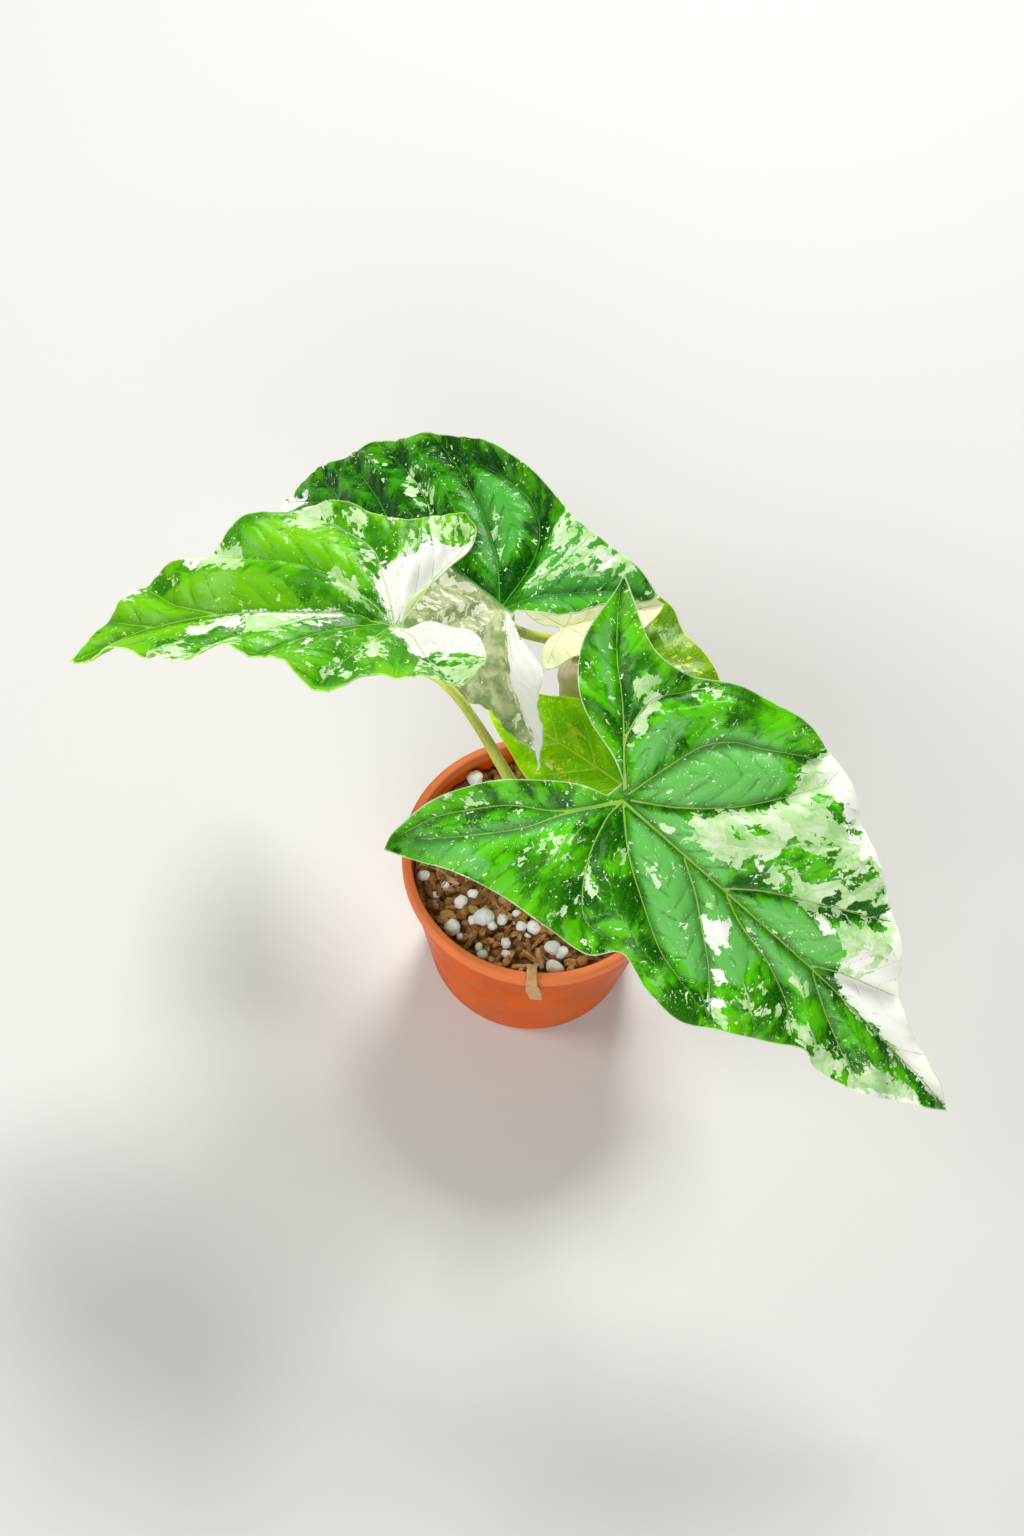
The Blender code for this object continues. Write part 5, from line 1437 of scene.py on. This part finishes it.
class ARROWHEAD_OT_mix(bpy.types.Operator):
    """Make the potting mix of bark chips, fibres and perlite, and the splinter over the rim"""
    bl_idname = "arrowhead.mix"
    bl_label = "Potting Mix"

    def execute(self, context):
        looks = context.scene.arrowhead_plant.mix
        dark, light = shaded(looks.bark, 0.35), shaded(looks.bark, 1.5)
        bark = grained_material("bark", dark, light, scale=420.0, roughness=0.85, bump_depth=0.0006,
                                attribute="tone")
        dark, light = shaded(looks.bark, 0.22), shaded(looks.bark, 1.0)
        crumb = grained_material("crumb", dark, light, scale=520.0, roughness=0.95, bump_depth=0.0012)
        dark, light = shaded(looks.perlite, 0.86), shaded(looks.perlite, 1.1)
        perlite = grained_material("perlite", dark, light, scale=700.0, roughness=0.9, bump_depth=0.0005)
        draw = random.Random(MIX_SEED)
        reach = inner_radius(MIX_TOP) - CHIPS_CLEAR_OF_WALL
        self.make_bed(crumb)
        self.make_chips(draw, bark, reach, looks.chips)
        self.make_grains(draw, perlite, reach, looks.grains)
        self.make_fibres(draw, bark, reach)
        self.make_splinter(bark)
        return {"FINISHED"}

    def make_chips(self, draw, material, reach, count):
        """A layer of rounded crumbs of bark, and one of split chips on it."""
        chips = Gathering()
        for _ in range(count):
            x, y, _ = random_place(draw, reach - 1.0)
            size = draw.uniform(2.0, 5.2)
            if not clear_of_stalks(x, y, size):
                continue
            stretch = (1.0, draw.uniform(0.6, 0.9), draw.uniform(0.5, 0.8))
            points, faces = lump(draw, size, stretch, roughness=0.55, subdivisions=2)
            place = (x, y, MIX_TOP + draw.uniform(-0.4, 0.9))
            chips.add(points, faces, place, random_turn(draw, 0.6), draw.random())
        for _ in range(count):
            x, y, radius = random_place(draw, reach)
            length, width, height = draw.uniform(3, 9), draw.uniform(1.8, 4.5), draw.uniform(1.2, 3.2)
            if radius > reach - length * 0.4 or not clear_of_stalks(x, y, width):
                continue
            points, faces = chip(draw, length, width, height)
            place = (x, y, float(mix_surface(x, y)) + draw.uniform(-0.2, 1.2))
            chips.add(points, faces, place, random_turn(draw, 0.4), draw.random())
        chips.make("bark_chips", material, smooth_angle=30.0)

    def make_grains(self, draw, material, reach, count):
        """The perlite grains: SEEN_GRAINS in their places, and more at random."""
        grains = Gathering()
        places = list(SEEN_GRAINS)
        for _ in range(count):
            x, y, _ = random_place(draw, reach - 3.0)
            places.append((x, y, draw.uniform(1.4, 4.6)))
        for x, y, size in places:
            if not clear_of_stalks(x, y, size):
                continue
            stretch = (1.0, draw.uniform(0.8, 1.0), draw.uniform(0.7, 0.9))
            points, faces = lump(draw, size, stretch, roughness=0.20, subdivisions=3)
            place = (x, y, float(mix_surface(x, y)) + 0.32 * size)
            grains.add(points, faces, place, random_turn(draw, 0.5), 0.5)
        grains.make("perlite_grains", material, smooth_angle=60.0)

    def make_bed(self, material):
        """The body of the mix, GAP clear of the pot, with fine crumb on top."""
        low = POT_FLOOR + GAP
        side = low + POT_FLOOR_BEVEL
        profile = [(0.0, low), (inner_radius(low) - POT_BASE_ROUNDING - GAP, low)]
        profile += [(inner_radius(side) - GAP, side)]
        rim = inner_radius(MIX_TOP - 2.0) - GAP
        profile += [(rim, MIX_TOP - 2.0)]
        profile += [(share * rim, MIX_TOP) for share in np.linspace(0.99, 0.02, 44)]
        profile += [(0.0, MIX_TOP)]
        vertices, faces = turned(profile, 110)
        vertices = np.array(vertices)
        top = vertices[:, 2] > MIX_TOP - 0.5
        x, y = vertices[top, 0], vertices[top, 1]
        crumbs = (np.sin(x * 1.9 + np.sin(y * 1.3) * 2) * np.sin(y * 2.1 + np.sin(x * 1.7) * 2) * 0.45
                  + np.sin(x * 4.3 + y * 1.1) * np.sin(y * 4.7 - x * 0.9) * 0.25)
        vertices[top, 2] = mix_surface(x, y) + crumbs - 0.5
        bed = mesh_object("mix_bed", vertices, faces, [material], smooth_angle=70.0)
        finish_piece(bed, "potting_mix")

    def make_fibres(self, draw, material, reach):
        """Loose curved fibres that lie on the chips."""
        fibres = Gathering()
        for _ in range(FIBRES):
            x, y, _ = random_place(draw, reach - 6.0)
            if not clear_of_stalks(x, y, 5.0):
                continue
            length = draw.uniform(4, 10)
            curve = draw.uniform(-1.5, 1.5)
            route = [(-length / 2, 0, 0), (0, curve, draw.uniform(0.3, 1.2)), (length / 2, 0, 0)]
            points, faces = tube_mesh(route, [0.15, 0.25, 0.12], sides=5, step=1.6)
            place = (x, y, float(mix_surface(x, y)) + draw.uniform(0.6, 1.8))
            fibres.add(points, faces, place, random_turn(draw, 0.15), draw.uniform(0.6, 1.0))
        fibres.make("bark_fibres", material, smooth_angle=60.0)

    def make_splinter(self, material):
        """The long splinter that lies over the front lip and widens below it."""
        front = -(POT_LIP_RADIUS + 1.1)
        # x, y, z and half the width
        centre = [(0.5, -41.0, MIX_TOP - 3.0, 2.4), (0.9, -43.6, POT_HEIGHT - 2.5, 2.0),
                  (1.1, -46.2, POT_HEIGHT + 0.9, 1.8), (1.4, front + 1.4, POT_HEIGHT + 1.0, 1.8),
                  (1.7, front, POT_HEIGHT - 1.6, 2.0), (2.6, front - 0.3, POT_HEIGHT - 5.8, 2.7),
                  (3.9, front - 0.5, POT_HEIGHT - 11.6, 2.0)]
        line = smooth_stroke(centre, step=0.5)
        draw = random.Random(SPLINTER_SEED)
        points = []
        columns = 9
        for x, y, z, half in line:
            ragged = half + draw.uniform(-0.12, 0.12)
            for column in range(columns):
                side = column / (columns - 1) * 2 - 1
                ridge = 0.16 * math.cos(side * 9.0) + draw.uniform(-0.04, 0.04)
                points.append((x + side * ragged, y - ridge * 0.6, z + ridge * 0.4))
        faces = strip_faces(len(line), columns, closed=False)
        splinter = mesh_object("rim_splinter", points, faces, [material], smooth_angle=50.0)
        thicken(splinter, thickness=0.9).offset = 0.0
        store(splinter.data, "tone", [1.0] * len(points))
        finish_piece(splinter, "potting_mix")


def stalk_material(name, base, pale, streak_shade, roughness):
    """A stalk's skin: broad pale stretches and fine dark streaks that run up it."""
    material, n, shader = new_material(name, roughness)
    base, pale = tuple(base), tuple(pale)
    place = n.object_place()
    streaks = n.noise(n.stretch(place, (900.0, 900.0, 60.0)), detail=4.0, roughness=0.6)
    broad = n.noise(n.stretch(place, (60.0, 60.0, 25.0)), detail=2.0)
    colour = n.mix(n.step(broad, 0.35, 0.7), base, pale)
    colour = n.mix(n.step(streaks, 0.45, 0.75, 0.0, 0.5), colour, shaded(base, streak_shade))
    n.wire(shader.inputs["Base Color"], colour)
    bump(n, shader, streaks, distance=0.0002)
    return material


class ARROWHEAD_OT_stalks(bpy.types.Operator):
    """Make the petioles, the leaning stem and its papery sheath"""
    bl_idname = "arrowhead.stalks"
    bl_label = "Stem and Petioles"

    def execute(self, context):
        looks = context.scene.arrowhead_plant.stalk
        green = stalk_material("petiole_green", looks.petiole, looks.petiole_pale, streak_shade=0.6,
                               roughness=0.42)
        for leaf, plan in PETIOLES:
            make_petiole(leaf, plan, green)
        tan = stalk_material("stem_tan", looks.stem, looks.stem_pale, streak_shade=0.65, roughness=0.75)
        vertices, faces = tube_mesh(STEM_ROUTE, STEM_RADII, sides=28, step=1.2)
        stem = mesh_object("stem_skin", vertices, faces, [tan], smooth_angle=50.0)
        finish_piece(stem, "stem")
        self.make_sheath(stalk_material("sheath_paper", looks.sheath, looks.sheath_pale, streak_shade=0.65,
                                        roughness=0.7))
        return {"FINISHED"}

    def make_sheath(self, material):
        """The dry torn sheath round the stem's top, which the rear petioles rise out of."""
        top, aim, side, back = stem_top()
        columns, rows = 56, 14
        points = []
        for row in range(rows):
            share = row / (rows - 1)
            for column in range(columns):
                turn = 2 * math.pi * column / columns
                torn = SHEATH_RISE + 2.6 * math.sin(2 * turn + 0.6) + 1.3 * math.sin(5 * turn)
                torn += 0.7 * math.sin(13 * turn + 2)
                height = -SHEATH_DROP + (SHEATH_DROP + torn) * share
                crease = 0.10 * math.sin(9 * turn + 3 * share) + 0.06 * math.sin(23 * turn)
                radius = SHEATH_RADIUS + 1.5 * max(0.0, share - 0.55) ** 1.5 * 3.0 + crease
                points.append(top + aim * height + radius * (side * math.cos(turn) + back * math.sin(turn)))
        sheath = mesh_object("stem_sheath", points, strip_faces(rows, columns), [material], smooth_angle=60.0)
        thicken(sheath, thickness=0.3)
        finish_piece(sheath, "stem")


# What sets the tissue of a blade apart from the front one, whose colours are in LeafLooks. The left blade
# is a brighter green, with a darker white as painted shade against the stronger light on it. The back one
# is the deepest, with dark rib lines as painted shade in their creases. The three small ones run from cream
# to lime, and the low one is a lighter copy of the lime, as painted light.
# Painted shade: BRIGHT's white is darker than the front blade's, against the stronger light on the left blade.
BRIGHT = dict(deep=(0.022, 0.20, 0.0005, 1), light=(0.115, 0.51, 0.001, 1), milky=(0.19, 0.58, 0.003, 1),
              edge=(0.20, 0.58, 0.001, 1), fleck=(0.62, 0.84, 0.30, 1), white=(0.77, 0.79, 0.74, 1))
# Painted shade: SHADE's vein colour darkens the rib lines as shade in their creases.
SHADE = dict(deep=(0.001, 0.045, 0.0004, 1), light=(0.040, 0.33, 0.002, 1), milky=(0.085, 0.42, 0.06, 1),
             edge=(0.09, 0.42, 0.002, 1), vein=(0.06, 0.34, 0.02, 1), gloss=0.12)
LIME = dict(deep=(0.11, 0.32, 0.0005, 1), light=(0.24, 0.52, 0.001, 1), milky=(0.32, 0.58, 0.004, 1),
            edge=(0.30, 0.56, 0.001, 1), mint=(0.84, 0.86, 0.04, 1), vein=(0.48, 0.66, 0.04, 1),
            fleck=(0.86, 0.88, 0.03, 1))
# Painted light: the low blade's lime, made lighter than LIME to stand in for more light on it.
LIME_WITH_PAINTED_LIGHT = dict(LIME, deep=(0.22, 0.66, 0.0005, 1), light=(0.42, 0.90, 0.001, 1), milky=(0.50, 0.92, 0.004, 1),
             edge=(0.48, 0.88, 0.001, 1), vein=(0.66, 0.90, 0.04, 1), fleck=(0.96, 0.94, 0.10, 1))
CREAM = dict(deep=(0.6, 0.72, 0.24, 1), light=(0.90, 0.92, 0.46, 1), milky=(0.92, 0.93, 0.52, 1),
             edge=(0.92, 0.92, 0.50, 1), mint=(0.86, 0.90, 0.38, 1), white=(0.97, 0.94, 0.60, 1),
             vein=(0.80, 0.84, 0.36, 1), fleck=(0.92, 0.92, 0.50, 1))

# Each blade with the name of a material slot, which nothing reads, its tissue, its share of flecks
# and how coarse its mesh is
BLADES = [
    (FRONT_LEAF, "leaf", {}, 0.20, 1.0),
    (LEFT_LEAF, "leaf", BRIGHT, 0.20, 1.0),
    (BACK_LEAF, "leaf_deep", SHADE, 0.20, 1.0),
    (CREAM_LEAF, "leaf_cream", CREAM, 0.05, 1.1),
    (RIGHT_LEAF, "leaf_yellow_green", LIME, 0.35, 1.1),
    (LOW_LEAF, "leaf_yellow_green", LIME_WITH_PAINTED_LIGHT, 0.95, 1.1),
]


class ARROWHEAD_OT_leaves(bpy.types.Operator):
    """Make the six leaf blades with their relief and variegation"""
    bl_idname = "arrowhead.leaves"
    bl_label = "Leaves"

    def execute(self, context):
        looks = context.scene.arrowhead_plant.leaf
        thickness, step = looks.thickness / MM, looks.spacing / MM
        white, mint = tuple(looks.white), tuple(looks.mint)
        green = Tissue(tuple(looks.deep_green), tuple(looks.light_green), tuple(looks.milky_green),
                       tuple(looks.edge_green), mint, white, tuple(looks.vein), blended(mint, white, 0.4))
        for leaf, slot, changes, flecks, coarseness in BLADES:
            tissue = replace(green, **changes)
            upper = upper_material(leaf.name + "_upper", tissue, flecks)
            under = under_material(leaf.name + "_under", tissue)
            make_blade(leaf, upper, under, thickness, step * coarseness)
        return {"FINISHED"}


# The photo's view: angles in degrees, distance and shift in metres, lens and sensor in mm
CAMERA_ELEVATION = 60.0
CAMERA_ROLL = 6.0
CAMERA_DISTANCE = 1.002
CAMERA_SHIFT = (-0.0064, 0.068)
CAMERA_LENS = 60.0
SENSOR_WIDTH = 36.0

# Half the floor's width in mm, and the colour of the even light from all sides
FLOOR_HALF_WIDTH = 3000.0
ROOM_COLOUR = (0.98, 0.98, 1.0, 1.0)

# Each light's name, place and width in metres, share of the key power and colour. All point at LIGHT_AIM.
LIGHT_AIM = (0.0, 0.0, 0.12)
LIGHTS = [
    ("key_light", (0.10, 1.05, 1.15), 0.45, 1.0, (1.0, 0.99, 0.96)),
    ("side_light", (-1.0, -0.15, 0.95), 0.5, 0.28, (1.0, 0.98, 0.94)),
    ("low_light", (-0.60, -0.95, 0.22), 0.5, 0.16, (1.0, 0.98, 0.96)),
    ("fill_light", (0.15, -1.25, 0.85), 0.9, 0.54, (1.0, 0.98, 0.96)),
]


def area_light(name, place, size, power, colour):
    """A soft round light that points at the plant."""
    data = bpy.data.lights.new(name, "AREA")
    data.shape = "DISK"
    data.size = size
    data.energy = power
    data.color = colour
    light = bpy.data.objects.new(name, data)
    light.location = place
    light.rotation_euler = (Vector(LIGHT_AIM) - Vector(place)).to_track_quat("-Z", "Y").to_euler()
    bpy.context.scene.collection.objects.link(light)


class ARROWHEAD_OT_stage(bpy.types.Operator):
    """Make the plain floor, the soft lights and the camera"""
    bl_idname = "arrowhead.stage"
    bl_label = "Stage"

    def execute(self, context):
        looks = context.scene.arrowhead_plant.stage
        self.make_camera(context)
        half = FLOOR_HALF_WIDTH
        floor_material, _, shader = new_material("pale_floor", roughness=0.7)
        shader.inputs["Base Color"].default_value = tuple(looks.floor)
        corners = [(-half, -half, 0), (half, -half, 0), (half, half, 0), (-half, half, 0)]
        floor = mesh_object("floor", corners, [(0, 1, 2, 3)], [floor_material])
        for name, place, size, share, colour in LIGHTS:
            area_light(name, place, size, looks.key_power * share, colour)
        world = context.scene.world or bpy.data.worlds.new("soft_room")
        context.scene.world = world
        world.use_nodes = True
        background = world.node_tree.nodes["Background"]
        background.inputs["Color"].default_value = ROOM_COLOUR
        background.inputs["Strength"].default_value = looks.room_light
        context.scene.view_settings.view_transform = "Standard"
        return {"FINISHED"}

    def make_camera(self, context):
        """The camera looks along +Y and down, and is rolled as the photo is."""
        rise, roll = math.radians(CAMERA_ELEVATION), math.radians(CAMERA_ROLL)
        back = Vector((0.0, -math.cos(rise), math.sin(rise)))
        level = Vector((1.0, 0.0, 0.0))
        upright = back.cross(level)
        right = level * math.cos(roll) + upright * math.sin(roll)
        up = upright * math.cos(roll) - level * math.sin(roll)
        data = bpy.data.cameras.new("camera")
        data.lens = CAMERA_LENS
        data.sensor_width = SENSOR_WIDTH
        camera = bpy.data.objects.new("camera", data)
        matrix = Matrix((right, up, back)).transposed().to_4x4()
        matrix.translation = back * CAMERA_DISTANCE + right * CAMERA_SHIFT[0] + up * CAMERA_SHIFT[1]
        camera.matrix_world = matrix
        context.scene.collection.objects.link(camera)
        context.scene.camera = camera


class ARROWHEAD_PT_panel(bpy.types.Panel):
    """Lists the pieces of the plant and their settings"""
    bl_idname = "ARROWHEAD_PT_panel"
    bl_label = "Potted Arrowhead Plant"
    bl_space_type = "VIEW_3D"
    bl_region_type = "UI"
    bl_category = "Arrowhead"

    def draw(self, context):
        settings = context.scene.arrowhead_plant
        for group in (settings.leaf, settings.pot, settings.mix, settings.stalk, settings.stage):
            box = self.layout.box()
            for name in group.__annotations__:
                box.prop(group, name)
        for operator in OPERATORS:
            self.layout.operator(operator.bl_idname)


OPERATORS = (ARROWHEAD_OT_stage, ARROWHEAD_OT_pot, ARROWHEAD_OT_mix, ARROWHEAD_OT_stalks, ARROWHEAD_OT_leaves)
CLASSES = (LeafLooks, PotLooks, MixLooks, StalkLooks, StageLooks, PlantSettings, *OPERATORS,
           ARROWHEAD_PT_panel)


def register():
    for item in CLASSES:
        bpy.utils.register_class(item)
    bpy.types.Scene.arrowhead_plant = PointerProperty(type=PlantSettings)


def unregister():
    del bpy.types.Scene.arrowhead_plant
    for item in reversed(CLASSES):
        bpy.utils.unregister_class(item)


def main():
    register()
    bpy.ops.arrowhead.stage()
    bpy.ops.arrowhead.pot()
    bpy.ops.arrowhead.mix()
    bpy.ops.arrowhead.stalks()
    bpy.ops.arrowhead.leaves()


if __name__ == "__main__":
    main()
